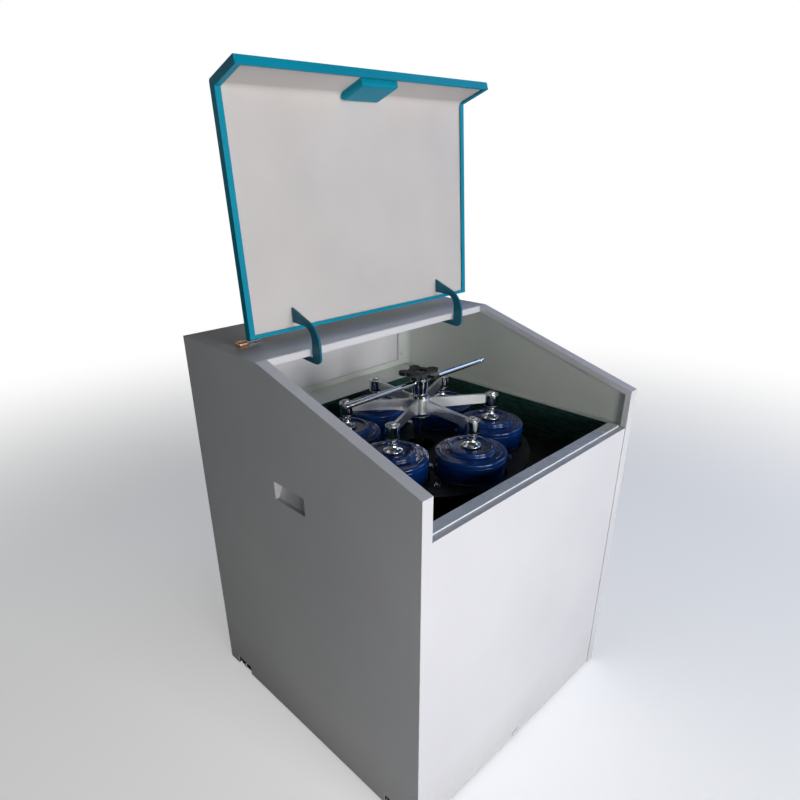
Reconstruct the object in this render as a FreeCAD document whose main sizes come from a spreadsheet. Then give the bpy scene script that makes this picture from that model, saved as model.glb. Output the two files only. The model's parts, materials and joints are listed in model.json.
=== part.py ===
import FreeCAD, Part
import Sketcher
import math
import os

from FreeCAD import Placement, Rotation, Vector

# Floor-standing pulverizer: a sheet-steel cabinet with a sloping lid, six grinding bowls
# on a table that a motor shakes, and a star clamp that presses on their lids.
# Millimetres, +Z up. The origin is the middle of the footprint on the floor,
# -Y is the front. The lid is drawn shut and then swung open about its hinge.

doc = FreeCAD.newDocument("SamplePulverizer")
sheet = doc.addObject("Spreadsheet::Sheet", "Sizes")

drivingSizes = [
    ("CabinetWidth", 700, "over the side panels"),
    ("CabinetDepth", 710, "front face to back face"),
    ("RearHeight", 912, "floor to the flat top"),
    ("FrontHeight", 787, "floor to the front end of the slope"),
    ("SlopeDepth", 429, "front face to the top of the slope"),
    ("FrontPanelTop", 700, "floor to the top of the front panel"),
    ("SheetGauge", 2, "cabinet sheet"),
    ("RimWidth", 25, "folded rim along the side panels"),
    ("RimReturn", 14, "inner lip of the rim"),
    ("PanelGap", 0.25, "gap where one panel sits in another"),
    ("PanelInset", 2, "front and rear panels behind the rims"),
    ("SkirtGap", 4, "floor to the lower edge of the panels"),
    ("FrontReturn", 16, "front face to the rear of the top return"),
    ("CornerRelief", 2.5, "bend relief at the front panel's top corners"),
    ("RailRear", 42, "front face to the rear of the front rail"),
    ("RailRise", 3, "front rail above the front panel"),
    ("RailLip", 7, "turned-down front of the rail"),
    ("RailDrop", 15, "turned-down rear of the rail"),
    ("RailShort", 3, "rail short of each side rim"),
    ("LedgeDepth", 92, "ledge behind the well"),
    ("WellWallHeight", 140, "well wall"),
    ("WellCorner", 14, "well wall's corner radius"),
    ("LinerGap", 10, "side panel plate to the inner wall"),
    ("LinerDrop", 6, "inner wall below the rim"),
    ("LinerWing", 36, "inner wall's wing along the rear"),
    ("LinerBend", 20, "bend between the inner wall and its wing"),
    ("WingSlotLength", 22, "slot in that wing"),
    ("WingSlotHeight", 5, "slot in that wing"),
    ("WingSlotLevel", 30, "slot above the ledge"),
    ("LedgeUpstand", 16, "rear ledge's upturned back"),
    ("TopFlange", 15, "turned-down front of the rear top"),
    ("TopBend", 3, "bend radius of that edge"),
    ("LouvreLength", 170, "rear louvre"),
    ("LouvreHeight", 7, "rear louvre"),
    ("LouvrePitch", 24, "louvre to louvre"),
    ("LouvreBase", 160, "floor to the lowest louvre"),
    ("CupWidth", 98, "hand cup opening"),
    ("CupHeight", 40, "hand cup opening"),
    ("CupDepth", 20, "hand cup"),
    ("CupLevel", 648, "floor to the hand cup's middle"),
    ("CupPlace", 357, "front face to the hand cup's middle"),
    ("CupWall", 1.5, "hand cup wall"),
    ("CupLip", 8, "hand cup lip behind the panel"),
    ("FootHeight", 28, "rubber foot"),
    ("FootLength", 56, "rubber foot, front to back"),
    ("FootWidth", 44, "rubber foot, side to side"),
    ("FootInset", 68, "foot's middle from the front or back face"),
    ("NotchRoom", 2, "notch round a foot"),
    ("FootBoltSize", 13, "foot bolt across flats"),
    ("FootBoltHead", 4.5, "foot bolt head"),
    ("RailHeight", 40, "base rail"),
    ("RailWidth", 44, "base rail"),
    ("RailWall", 3, "base rail wall"),
    ("RailEndGap", 17, "base rail short of the cabinet's ends"),
    ("FloorGauge", 3, "floor plate"),
    ("FloorMargin", 10, "floor plate inside the base rails"),
    ("PostSize", 60, "square post under the table"),
    ("PostPlateWidth", 90, "post's top plate"),
    ("PostPlateThickness", 8, "post's top plate"),
    ("PostSpread", 185, "posts and isolators from the table's middle"),
    ("IsolatorHeight", 108, "rubber isolator"),
    ("IsolatorRadius", 38, "rubber isolator at its waist"),
    ("IsolatorPlate", 32, "isolator's end plate radius"),
    ("TableGap", 22.5, "well wall to the table plate, all round"),
    ("TableThickness", 12, "table plate"),
    ("TableCorner", 40, "table plate's corner radius"),
    ("DeckDrop", 80, "table top below the front panel's top"),
    ("ClampPlace", 333, "front face to the clamp's axis"),
    ("BowlCircle", 164.5, "bowl centres from the clamp's axis"),
    ("BowlBearingAngle", 23.7, "first bowl's bearing in degrees"),
    ("BowlCount", 6, "bowls round the clamp"),
    ("BowlRadius", 75, "bowl rim"),
    ("BowlHeight", 77, "bowl without its lid"),
    ("BowlWall", 11, "bowl wall"),
    ("BowlFloor", 12, "bowl floor"),
    ("BowlLidRise", 10, "bowl lid's rim above the bowl"),
    ("BowlBossRise", 21, "raised ring above the bowl"),
    ("BowlBossRadius", 50, "raised ring, outside"),
    ("BowlRecessRadius", 42, "raised ring, inside"),
    ("BowlRecessDrop", 4, "recess floor below the raised ring"),
    ("SpigotDepth", 4, "bowl lid's spigot"),
    ("GrindRingRadius", 52, "grinding ring, outside"),
    ("GrindRingBore", 40, "grinding ring, inside"),
    ("PuckRadius", 30, "grinding puck"),
    ("GrindHeight", 52, "ring and puck"),
    ("NestLevel", 35, "nest plate above the table"),
    ("NestThickness", 6, "nest plate"),
    ("NestRadius", 250, "nest plate"),
    ("NestRoom", 2, "nest hole round a bowl"),
    ("NestBoltOuter", 205, "outer nest bolts from the axis"),
    ("NestBoltInner", 120, "inner nest bolts from the axis"),
    ("NestSpacer", 8, "nest spacer radius"),
    ("NestBoltRoom", 0.2, "nest bolt in its hole, radial"),
    ("NestBoltHead", 6, "nest bolt head height"),
    ("NestBoltSize", 13, "nest bolt across flats"),
    ("ScrewRadius", 12, "clamp screw"),
    ("ScrewFoot", 35, "clamp screw's flange radius"),
    ("ScrewReach", 183, "clamp screw above the table"),
    ("RunningGap", 0.06, "radial clearance of a turning or sliding fit"),
    ("StarHubRadius", 24, "star's hub"),
    ("StarHubHeight", 40, "star's hub"),
    ("StarArmThickness", 7, "star arm blade"),
    ("StarArmRoot", 34, "star arm's depth at the hub"),
    ("StarArmWaist", 23, "star arm's depth along its length"),
    ("StarBossRadius", 15, "boss at an arm's end"),
    ("StarBossHeight", 27.5, "boss at an arm's end"),
    ("StarBossLift", 32, "boss above the foot's face"),
    ("PressFootRadius", 20, "press foot's face"),
    ("PressCone", 18, "press foot's cone height"),
    ("PressStem", 6, "press foot's stem radius"),
    ("PressNutSize", 15, "press foot's nuts across flats"),
    ("PressNutHeight", 5, "press foot's nuts"),
    ("NutRadius", 20, "clamp nut"),
    ("NutWaist", 15, "clamp nut's waist radius"),
    ("NutHeight", 45, "clamp nut"),
    ("NutBore", 29, "depth of the thread in the nut"),
    ("TeeBarRadius", 6, "cross bar"),
    ("TeeBarLength", 438, "cross bar"),
    ("TeeBarShift", 3, "cross bar pushed to the right"),
    ("TeeBarDrop", 8, "cross bar below the nut's top"),
    ("KnobRadius", 30, "knob between its lobes"),
    ("KnobReach", 35, "lobe centres from the axis"),
    ("KnobLobe", 12, "lobe radius"),
    ("KnobRise", 8, "knob's neck between the nut and the lobes"),
    ("KnobHeight", 7, "lobed part of the knob"),
    ("KnobLobes", 5, "lobes round the knob"),
    ("KnobAngle", 136, "bearing of the knob's first lobe in degrees"),
    ("MotorRadius", 76, "motor body"),
    ("MotorLength", 198, "motor body"),
    ("MotorFlangeRadius", 105, "motor flange"),
    ("MotorFlange", 12, "motor flange thickness"),
    ("MotorBellRadius", 62, "motor's end bell"),
    ("MotorBell", 18, "motor's end bell height"),
    ("MotorRib", 5, "motor rib thickness"),
    ("MotorRibRise", 8, "motor rib height"),
    ("MotorRibInset", 10, "rib short of the motor body's ends"),
    ("MotorRibs", 20, "ribs round the motor"),
    ("MotorBoltCircle", 94, "motor bolts from the axis"),
    ("MotorBoltSize", 16, "motor bolt across flats"),
    ("MotorBoltHead", 8, "motor bolt head"),
    ("MotorBolts", 6, "motor bolts"),
    ("MotorBoltAngle", 9, "bearing of the first motor bolt in degrees"),
    ("TerminalWidth", 80, "terminal box"),
    ("TerminalHeight", 76, "terminal box"),
    ("TerminalReach", 44, "terminal box beyond the motor body"),
    ("ShaftRadius", 14, "motor shaft"),
    ("ShaftReach", 76, "shaft below the end bell"),
    ("WeightRadius", 95, "eccentric weight"),
    ("WeightHeight", 44, "eccentric weight"),
    ("WeightHub", 28, "eccentric weight's hub radius"),
    ("WeightDrop", 8, "weight below the end bell"),
    ("ShaftNutSize", 30, "shaft nut across flats"),
    ("ShaftNutHeight", 14, "shaft nut"),
    ("PivotBehind", 39.6, "hinge axis behind the top of the slope"),
    ("PivotBelow", 12, "hinge axis below the flat top"),
    ("LidOpenAngle", 110, "degrees from shut to open"),
    ("LidThickness", 15, "lid"),
    ("LidGauge", 1.5, "lid sheet"),
    ("LidSideGap", 0.5, "lid to the rims"),
    ("LidRearGap", 6, "lid to the top of the slope"),
    ("LidLipInset", 0.5, "lid's lip behind the front face"),
    ("LidLipGap", 1.5, "lid's lip above the front panel"),
    ("LidReturn", 12, "lid's inner flange at the sides"),
    ("LidRearReturn", 7, "inner flange at the lid's rear"),
    ("LidTipReturn", 4, "inner flange at the lip's end"),
    ("LidBend", 5, "bend radius at the lid's front"),
    ("LiningDrop", 4, "lining below the inner flange's face"),
    ("LiningCove", 14, "lining's cove at the bend"),
    ("GripWidth", 96, "hand pull behind the lip"),
    ("GripStart", 11.5, "lip's end to the hand pull"),
    ("GripHeight", 65, "hand pull behind the lip"),
    ("GripReach", 25.5, "hand pull behind the lip's face"),
    ("GripWall", 2, "hand pull wall"),
    ("GripEdge", 6, "hand pull's edge radius"),
    ("ArmPlace", 217, "hinge arms from the middle"),
    ("ArmPlate", 5, "hinge arm plate"),
    ("ArmReach", 69, "hinge axis to the front of the neck"),
    ("ArmWidth", 25, "hinge arm's neck"),
    ("ArmTop", 54, "hinge axis to the neck's inner corner"),
    ("ArmTail", 11.5, "depth of the arm's tail"),
    ("ArmTailDrop", 6.5, "hinge axis to the tail's upper edge"),
    ("ArmRootLow", 16, "lid's rear edge to the arm's root"),
    ("ArmRootHigh", 46, "lid's rear edge to the arm root's far end"),
    ("ArmEye", 8, "hinge arm's eye radius"),
    ("PinRadius", 4, "hinge pin"),
    ("PinHead", 6.5, "hinge pin's head radius"),
    ("EarThickness", 4, "hinge bracket ear"),
    ("EarGap", 1, "ear to arm"),
    ("EarWidth", 22, "hinge bracket ear, front to back"),
    ("EarDrop", 10, "hinge bracket ear below the axis"),
    ("CatchWidth", 22, "front panel catch"),
    ("CatchHeight", 15, "front panel catch"),
    ("CatchShift", 10, "catch to the left of the middle"),
    ("GrommetInset", 95, "cable grommet from the rear panel's left edge"),
    ("GrommetLevel", 110, "floor to the cable grommet"),
    ("GrommetRadius", 11, "cable grommet in the panel"),
    ("GrommetGap", 0.2, "grommet in its hole, radial"),
]

for row, (alias, value, note) in enumerate(drivingSizes, start=1):
    sheet.set("A%d" % row, note)
    sheet.set("B%d" % row, str(value))
    sheet.setAlias("B%d" % row, alias)
doc.recompute()


class Size:
    # a length or angle with its number and the formula that ties it to the sheet
    def __init__(self, value, formula=None):
        self.value = value
        self.formula = formula if formula else repr(float(value))

    def __add__(self, other):
        return joined(self, "+", other, lambda a, b: a + b)

    def __radd__(self, other):
        return joined(other, "+", self, lambda a, b: a + b)

    def __sub__(self, other):
        return joined(self, "-", other, lambda a, b: a - b)

    def __rsub__(self, other):
        return joined(other, "-", self, lambda a, b: a - b)

    def __mul__(self, other):
        return joined(self, "*", other, lambda a, b: a * b)

    def __rmul__(self, other):
        return joined(other, "*", self, lambda a, b: a * b)

    def __truediv__(self, other):
        return joined(self, "/", other, lambda a, b: a / b)

    def __neg__(self):
        return joined(-1, "*", self, lambda a, b: a * b)


def asSize(number):
    return number if isinstance(number, Size) else Size(number)


def joined(left, sign, right, work):
    left, right = asSize(left), asSize(right)
    formula = "(%s %s %s)" % (left.formula, sign, right.formula)
    return Size(work(left.value, right.value), formula)


def size(alias):
    return Size(float(sheet.get(alias)), "Sizes." + alias)


def cosine(angle):
    return Size(math.cos(math.radians(angle.value)), "cos(%s)" % angle.formula)


def sine(angle):
    return Size(math.sin(math.radians(angle.value)), "sin(%s)" % angle.formula)


def arcTangent(ratio):
    formula = "(atan(%s) / 1 deg)" % ratio.formula
    return Size(math.degrees(math.atan(ratio.value)), formula)


def bind(thing, prop, amount):
    thing.setExpression(prop, asSize(amount).formula)


subParts = []


def newBody(label):
    body = doc.addObject("PartDesign::Body", label)
    body.Label = label
    body.AllowCompound = True
    subParts.append(body)
    return body


def originFeature(body, role):
    return [f for f in body.Origin.OriginFeatures if f.Role == role][0]


def newSketch(body, plane, level):
    name = "%sSketch%d" % (body.Name, len(body.Group))
    sketch = body.newObject("Sketcher::SketchObject", name)
    sketch.AttachmentSupport = [(originFeature(body, plane + "_Plane"), "")]
    sketch.MapMode = "FlatFace"
    # the XZ plane faces the front, so its levels count backwards
    bind(sketch, "AttachmentOffset.Base.z", -level if plane == "XZ" else level)
    return sketch


def tiePoint(sketch, piece, end, across, up):
    for kind, amount in (("DistanceX", across), ("DistanceY", up)):
        amount = asSize(amount)
        rule = Sketcher.Constraint(kind, -1, 1, piece, end, amount.value)
        number = sketch.addConstraint(rule)
        sketch.setExpression("Constraints[%d]" % number, amount.formula)


def drawOutline(sketch, corners):
    points = [Vector(asSize(a).value, asSize(b).value, 0) for a, b in corners]
    count = len(points)
    for i in range(count):
        sketch.addGeometry(Part.LineSegment(points[i], points[(i + 1) % count]))
    for i in range(count):
        sketch.addConstraint(Sketcher.Constraint("Coincident", i, 2, (i + 1) % count, 1))
    for i, (across, up) in enumerate(corners):
        tiePoint(sketch, i, 1, across, up)


def drawCircle(sketch, across, up, radius):
    centre = Vector(asSize(across).value, asSize(up).value, 0)
    circle = Part.Circle(centre, Vector(0, 0, 1), asSize(radius).value)
    piece = sketch.addGeometry(circle)
    tiePoint(sketch, piece, 3, across, up)
    rule = Sketcher.Constraint("Radius", piece, asSize(radius).value)
    number = sketch.addConstraint(rule)
    sketch.setExpression("Constraints[%d]" % number, asSize(radius).formula)


def extrude(body, sketch, plane, length, cut):
    kind = "PartDesign::Pocket" if cut else "PartDesign::Pad"
    feature = body.newObject(kind, sketch.Name.replace("Sketch", "Cut" if cut else "Pad"))
    feature.Profile = sketch
    # every length runs towards +X, +Y or +Z from the sketch's level
    feature.Reversed = (plane == "XZ") != cut
    bind(feature, "Length", length)
    before = body.Shape.Volume if cut else 0
    doc.recompute()
    if cut and not body.Shape.Volume < before:
        raise RuntimeError("%s cuts nothing" % feature.Name)
    return feature


def prism(body, plane, corners, level, length, cut=False):
    sketch = newSketch(body, plane, level)
    drawOutline(sketch, corners)
    return extrude(body, sketch, plane, length, cut)


def rod(body, plane, across, up, radius, level, length, cut=False):
    sketch = newSketch(body, plane, level)
    drawCircle(sketch, across, up, radius)
    return extrude(body, sketch, plane, length, cut)


def rectangle(left, right, low, high):
    return [(left, low), (right, low), (right, high), (left, high)]


def hexagon(across, up, flats):
    reach = flats / (2 * cosine(Size(30)))
    corners = []
    for step in range(6):
        bearing = Size(60 * step)
        corners.append((across + reach * cosine(bearing), up + reach * sine(bearing)))
    return corners


def turned(body, corners, offset=0, cut=False):
    # corners are (distance from the turning axis, height)
    sketch = newSketch(body, "XZ", Size(0))
    drawOutline(sketch, [(offset + a, b) for a, b in corners])
    x = asSize(offset).value
    axis = sketch.addGeometry(Part.LineSegment(Vector(x, -10, 0), Vector(x, 10, 0)), True)
    tiePoint(sketch, axis, 1, offset, -10)
    tiePoint(sketch, axis, 2, offset, 10)
    kind = "PartDesign::Groove" if cut else "PartDesign::Revolution"
    feature = body.newObject(kind, sketch.Name.replace("Sketch", "Turn"))
    feature.Profile = sketch
    feature.ReferenceAxis = (sketch, ["Axis0"])
    feature.Angle = 360
    doc.recompute()
    return feature


def around(body, features, count):
    pattern = body.newObject("PartDesign::PolarPattern", body.Name + "Round%d" % len(body.Group))
    pattern.Originals = features
    pattern.Axis = (originFeature(body, "Z_Axis"), [""])
    pattern.Angle = 360
    bind(pattern, "Occurrences", count)
    body.Tip = pattern
    doc.recompute()
    return pattern


def rounded(body, radius, wanted):
    # wanted says whether an edge, given by its two ends, gets the radius
    names = []
    for number, edge in enumerate(body.Shape.Edges, start=1):
        if len(edge.Vertexes) == 2 and wanted(edge.Vertexes[0].Point, edge.Vertexes[1].Point):
            names.append("Edge%d" % number)
    if not names:
        raise RuntimeError("no edge to round on %s" % body.Label)
    base = body.Tip
    fillet = body.newObject("PartDesign::Fillet", body.Name + "Fillet%d" % len(body.Group))
    fillet.Base = (base, names)
    bind(fillet, "Radius", radius)
    doc.recompute()
    return fillet


def alongX(places):
    # edges that run side to side through one of the given (y, z) places
    def wanted(a, b):
        if abs(a.y - b.y) > 0.01 or abs(a.z - b.z) > 0.01:
            return False
        for y, z in places:
            if abs(a.y - asSize(y).value) < 0.01 and abs(a.z - asSize(z).value) < 0.01:
                return True
        return False
    return wanted


def upright(a, b):
    return abs(a.x - b.x) < 0.01 and abs(a.y - b.y) < 0.01


def setPlace(body, x, y, z, turn=None):
    if turn is not None:
        body.Placement = Placement(Vector(), Rotation(Vector(0, 0, 1), turn.value))
        bind(body, "Placement.Rotation.Angle", turn)
    for axis, amount in (("x", x), ("y", y), ("z", z)):
        bind(body, "Placement.Base." + axis, amount)


# what several pieces share

gauge = size("SheetGauge")
gap = size("PanelGap")
halfWidth = size("CabinetWidth") / 2
frontY = -size("CabinetDepth") / 2
rearY = size("CabinetDepth") / 2
slopeTopY = frontY + size("SlopeDepth")
rearTop = size("RearHeight")
frontTop = size("FrontHeight")
panelTop = size("FrontPanelTop")
slopeRate = (rearTop - frontTop) / size("SlopeDepth")
slopeAngle = arcTangent(slopeRate)
slopeCos = cosine(slopeAngle)
slopeSin = sine(slopeAngle)
rimInner = halfWidth - size("RimWidth")
railTop = panelTop + size("RailRise")
wellFrontY = frontY + size("RailRear")
linerX = halfWidth - gauge - size("LinerGap")
skirt = size("SkirtGap")
inset = size("PanelInset")
ledgeRear = rearY - inset - 2 * gauge
wellRearY = ledgeRear - size("LedgeDepth")
grommetX = -rimInner + gap + size("GrommetInset")

footTop = size("FootHeight")
floorBottom = footTop + size("RailHeight")
floorTop = floorBottom + size("FloorGauge")
tableTop = panelTop - size("DeckDrop")
tableBottom = tableTop - size("TableThickness")
postTop = tableBottom - size("IsolatorHeight")
clampY = frontY + size("ClampPlace")
bowlTop = tableTop + size("BowlHeight")
pressLevel = bowlTop + size("BowlBossRise") - size("BowlRecessDrop")
bossBottom = pressLevel + size("StarBossLift")
bossTop = bossBottom + size("StarBossHeight")
nutBottom = bossTop + 1.5
nutTop = nutBottom + size("NutHeight")
screwTop = tableTop + size("ScrewReach")

pivotY = slopeTopY + size("PivotBehind")
pivotZ = rearTop - size("PivotBelow")
running = size("RunningGap")


def slopeAt(y):
    return frontTop + (y - frontY) * slopeRate


def under(y, depth):
    # height of a plane that lies depth below the slope
    return slopeAt(y) - depth / slopeCos


# cabinet

def sidePanel(label, side):
    body = newBody(label)
    rim = size("RimWidth")
    lip = size("RimReturn")
    outer = [
        (frontY, skirt),
        (frontY, frontTop),
        (slopeTopY, rearTop),
        (slopeTopY, rearTop - gauge),
        (rearY, rearTop - gauge),
        (rearY, skirt),
    ]
    flatUnder = rearTop - 2 * gauge
    meetY = slopeTopY - (2 * gauge - gauge / slopeCos) / slopeRate
    cavity = [
        (frontY + gauge, skirt + gauge),
        (frontY + gauge, under(frontY + gauge, gauge)),
        (meetY, flatUnder),
        (rearY - gauge, flatUnder),
        (rearY - gauge, skirt + gauge),
    ]
    mouth = [
        (frontY + gauge, skirt + gauge),
        (frontY + gauge, panelTop),
        (frontY + lip, panelTop),
        (frontY + lip, under(frontY + lip, lip)),
        (slopeTopY, under(slopeTopY, lip)),
        (rearY - gauge, under(slopeTopY, lip)),
        (rearY - gauge, skirt + gauge),
    ]
    start = -halfWidth if side < 0 else rimInner
    lipStart = -rimInner - gauge if side < 0 else rimInner
    cavityStart = start + gauge
    prism(body, "YZ", outer, start, rim)
    prism(body, "YZ", cavity, cavityStart, rim - 2 * gauge, cut=True)
    prism(body, "YZ", mouth, lipStart, gauge, cut=True)
    notchHalf = size("FootLength") / 2 + size("NotchRoom")
    for footY in footPlaces():
        notchTop = footTop + size("NotchRoom")
        notch = rectangle(footY - notchHalf, footY + notchHalf, skirt - 1, notchTop)
        prism(body, "YZ", notch, start, rim, cut=True)
    cupY = frontY + size("CupPlace")
    cupHalf = size("CupWidth") / 2
    cupRise = size("CupHeight") / 2
    level = size("CupLevel")
    opening = rectangle(cupY - cupHalf, cupY + cupHalf, level - cupRise, level + cupRise)
    prism(body, "YZ", opening, start, rim, cut=True)


def footPlaces():
    return [frontY + size("FootInset"), rearY - size("FootInset")]


def handCup(label, side):
    body = newBody(label)
    wall = size("CupWall")
    depth = size("CupDepth")
    lip = size("CupLip")
    face = halfWidth - gauge
    middle = frontY + size("CupPlace")
    half = size("CupWidth") / 2
    low = size("CupLevel") - size("CupHeight") / 2
    high = size("CupLevel") + size("CupHeight") / 2
    lipStart = -face if side < 0 else face - wall
    lipEdge = rectangle(middle - half - lip, middle + half + lip, low - lip, high + lip)
    prism(body, "YZ", lipEdge, lipStart, wall)
    boxStart = -face if side < 0 else face - depth
    box = rectangle(middle - half - wall, middle + half + wall, low - wall, high + wall)
    prism(body, "YZ", box, boxStart, depth)
    # the hollow is deepest at the top, where fingers hook in
    hollow = [
        (side * face, low),
        (side * face, high),
        (side * (face - depth + wall), high),
        (side * (face - depth + wall), high - size("CupHeight") / 3),
        (side * (face - depth / 3), low),
    ]
    prism(body, "XZ", hollow, middle - half, size("CupWidth"), cut=True)


def frontPanel():
    body = newBody("front_panel")
    half = rimInner - gap
    low = skirt + gauge
    face = frontY + inset
    deep = size("FrontReturn") - inset
    prism(body, "XZ", rectangle(-half, half, low, panelTop), face, deep)
    inner = rectangle(-half + gauge, half - gauge, low + gauge, panelTop - gauge)
    prism(body, "XZ", inner, face + gauge, deep - gauge, cut=True)
    for side in (-1, 1):
        rod(body, "XZ", side * half, panelTop, size("CornerRelief"), face, deep, cut=True)


def rearPanel():
    body = newBody("rear_panel")
    half = rimInner - gap
    low = skirt + gauge
    high = rearTop - gauge
    face = rearY - inset - gauge
    prism(body, "XZ", rectangle(-half, half, low, high), face, gauge)
    length = size("LouvreLength")
    margin = length / 4
    for step in range(6):
        level = size("LouvreBase") + size("LouvrePitch") * step
        for left in (-margin - length, margin):
            slot = rectangle(left, left + length, level, level + size("LouvreHeight"))
            prism(body, "XZ", slot, face, gauge, cut=True)
    hole = size("GrommetRadius") + size("GrommetGap")
    rod(body, "XZ", grommetX, size("GrommetLevel"), hole, face, gauge, cut=True)


def topPanel():
    body = newBody("top_panel")
    sheetSide = rectangle(slopeTopY, rearY, rearTop - gauge, rearTop)
    prism(body, "YZ", sheetSide, -halfWidth, 2 * halfWidth)
    half = rimInner - gap
    flange = rectangle(slopeTopY, slopeTopY + gauge, rearTop - size("TopFlange"), rearTop - gauge)
    prism(body, "YZ", flange, -half, 2 * half)
    rounded(body, size("TopBend"), alongX([(slopeTopY, rearTop)]))


def linerWall(label, side):
    # inner wall beside the well, with a foot that reaches over the well's edge
    # and a wing bent round the rear corner
    body = newBody(label)
    front = frontY + 2 * gauge
    rear = ledgeRear
    drop = size("LinerDrop")
    meetY = slopeTopY - (drop - drop / slopeCos) / slopeRate
    # the wing ends below the side panel's inner lip
    wingTop = under(slopeTopY, size("RimReturn")) - gap
    wingRoot = rear - size("LinerWing")
    wall = [
        (front, panelTop),
        (front, under(front, drop)),
        (meetY, rearTop - drop),
        (wingRoot, rearTop - drop),
        (wingRoot, wingTop),
        (rear, wingTop),
        (rear, panelTop),
    ]
    prism(body, "YZ", wall, linerX if side > 0 else -linerX - gauge, gauge)
    lipRear = frontY + size("RimReturn")
    foot = [
        (side * rimInner, lipRear),
        (side * rimInner, rear),
        (side * linerX, rear),
        (side * linerX, front),
        (side * (rimInner + gauge), front),
        (side * (rimInner + gauge), lipRear),
    ]
    prism(body, "XY", foot, panelTop, gauge)
    wingX = linerX - size("LinerWing")
    outer = linerX + gauge
    wing = rectangle(side * wingX, side * outer, rear - gauge, rear)
    prism(body, "XY", wing, panelTop, wingTop - panelTop)

    def cornerAt(x, y):
        def wanted(a, b):
            return upright(a, b) and abs(abs(a.x) - x.value) < 0.01 and abs(a.y - y.value) < 0.01
        return wanted
    rounded(body, size("LinerBend"), cornerAt(linerX, rear - gauge))
    rounded(body, size("LinerBend") + gauge, cornerAt(outer, rear))
    slotX = side * (wingX + size("LinerWing") / 2)
    slotHalf = size("WingSlotLength") / 2
    low = panelTop + size("WingSlotLevel")
    slot = rectangle(slotX - slotHalf, slotX + slotHalf, low, low + size("WingSlotHeight"))
    prism(body, "XZ", slot, rear - gauge, gauge, cut=True)


def frontRail():
    body = newBody("front_rail")
    half = rimInner - size("RailShort")
    front = frontY + size("FrontReturn") + gap
    rear = wellFrontY
    profile = [
        (front, railTop),
        (rear, railTop),
        (rear, railTop - size("RailDrop")),
        (rear - gauge, railTop - size("RailDrop")),
        (rear - gauge, railTop - gauge),
        (front + gauge, railTop - gauge),
        (front + gauge, railTop - size("RailLip")),
        (front, railTop - size("RailLip")),
    ]
    prism(body, "YZ", profile, -half, 2 * half)


def wellTub():
    body = newBody("well_tub")
    half = rimInner - gap
    bottom = panelTop - size("WellWallHeight")
    height = size("WellWallHeight")
    prism(body, "XY", rectangle(-half, half, wellFrontY, wellRearY), bottom, height)
    inner = rectangle(-half + gauge, half - gauge, wellFrontY + gauge, wellRearY - gauge)
    prism(body, "XY", inner, bottom, height, cut=True)

    def outerEdge(a, b):
        return upright(a, b) and abs(a.x) > half.value - 0.01

    def innerEdge(a, b):
        return upright(a, b) and abs(abs(a.x) - half.value + gauge.value) < 0.01
    rounded(body, size("WellCorner"), outerEdge)
    rounded(body, size("WellCorner") - gauge, innerEdge)


def rearLedge():
    # plate behind the well, its upturned back between the inner walls' wings
    body = newBody("rear_ledge")
    half = rimInner - gap
    level = panelTop - gauge
    prism(body, "XY", rectangle(-half, half, wellRearY, ledgeRear), level, gauge)
    between = linerX - size("LinerWing") - gap
    back = rectangle(-between, between, ledgeRear - gauge, ledgeRear)
    prism(body, "XY", back, level, gauge + size("LedgeUpstand"))


def baseRail(label, side):
    body = newBody(label)
    width = size("RailWidth")
    wall = size("RailWall")
    outer = halfWidth - gauge
    left = -outer if side < 0 else outer - width
    front = frontY + size("RailEndGap")
    length = size("CabinetDepth") - 2 * size("RailEndGap")
    prism(body, "XZ", rectangle(left, left + width, footTop, floorBottom), front, length)
    bore = rectangle(left + wall, left + width - wall, footTop + wall, floorBottom - wall)
    prism(body, "XZ", bore, front, length, cut=True)


def floorPlate():
    body = newBody("floor_plate")
    halfX = halfWidth - gauge - size("FloorMargin")
    halfY = rearY - size("RailEndGap")
    prism(body, "XY", rectangle(-halfX, halfX, -halfY, halfY), floorBottom, size("FloorGauge"))


def springPosts():
    body = newBody("spring_posts")
    spread = size("PostSpread")
    half = size("PostSize") / 2
    cap = size("PostPlateWidth") / 2
    capBottom = postTop - size("PostPlateThickness")
    square = rectangle(spread - half, spread + half, spread - half, spread + half)
    plate = rectangle(spread - cap, spread + cap, spread - cap, spread + cap)
    post = prism(body, "XY", square, Size(0), capBottom - floorTop)
    top = prism(body, "XY", plate, capBottom - floorTop, size("PostPlateThickness"))
    around(body, [post, top], Size(4))
    setPlace(body, 0, clampY, floorTop)


def machineFeet():
    body = newBody("machine_feet")
    half = size("FootLength") / 2
    width = size("FootWidth")
    outer = halfWidth - gauge - size("FootBoltHead")
    for side in (-1, 1):
        left = -outer if side < 0 else outer - width
        for y in footPlaces():
            prism(body, "XY", rectangle(left, left + width, y - half, y + half), Size(0), footTop)


def footBolts():
    body = newBody("foot_bolts")
    outer = halfWidth - gauge - size("FootBoltHead")
    for side in (-1, 1):
        start = outer if side > 0 else -outer - size("FootBoltHead")
        for y in footPlaces():
            head = hexagon(y, footTop / 2, size("FootBoltSize"))
            prism(body, "YZ", head, start, size("FootBoltHead"))


def frontCatch():
    body = newBody("front_catch")
    middle = -size("CatchShift")
    half = size("CatchWidth") / 2
    low = skirt + gauge
    plate = rectangle(middle - half, middle + half, low, low + size("CatchHeight"))
    prism(body, "XZ", plate, frontY, inset)


def cableGrommet():
    # closed rubber plug in the cable hole of the rear panel
    body = newBody("cable_grommet")
    x = grommetX
    z = size("GrommetLevel")
    radius = size("GrommetRadius")
    rod(body, "XZ", x, z, radius + 3, rearY - inset, inset)
    rod(body, "XZ", x, z, radius, rearY - inset - gauge, gauge)
    rod(body, "XZ", x, z, radius + 2, rearY - inset - 2 * gauge, gauge)
    rod(body, "XZ", x, z, radius / 2, rearY - inset / 2, inset / 2, cut=True)


# hinge

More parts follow.
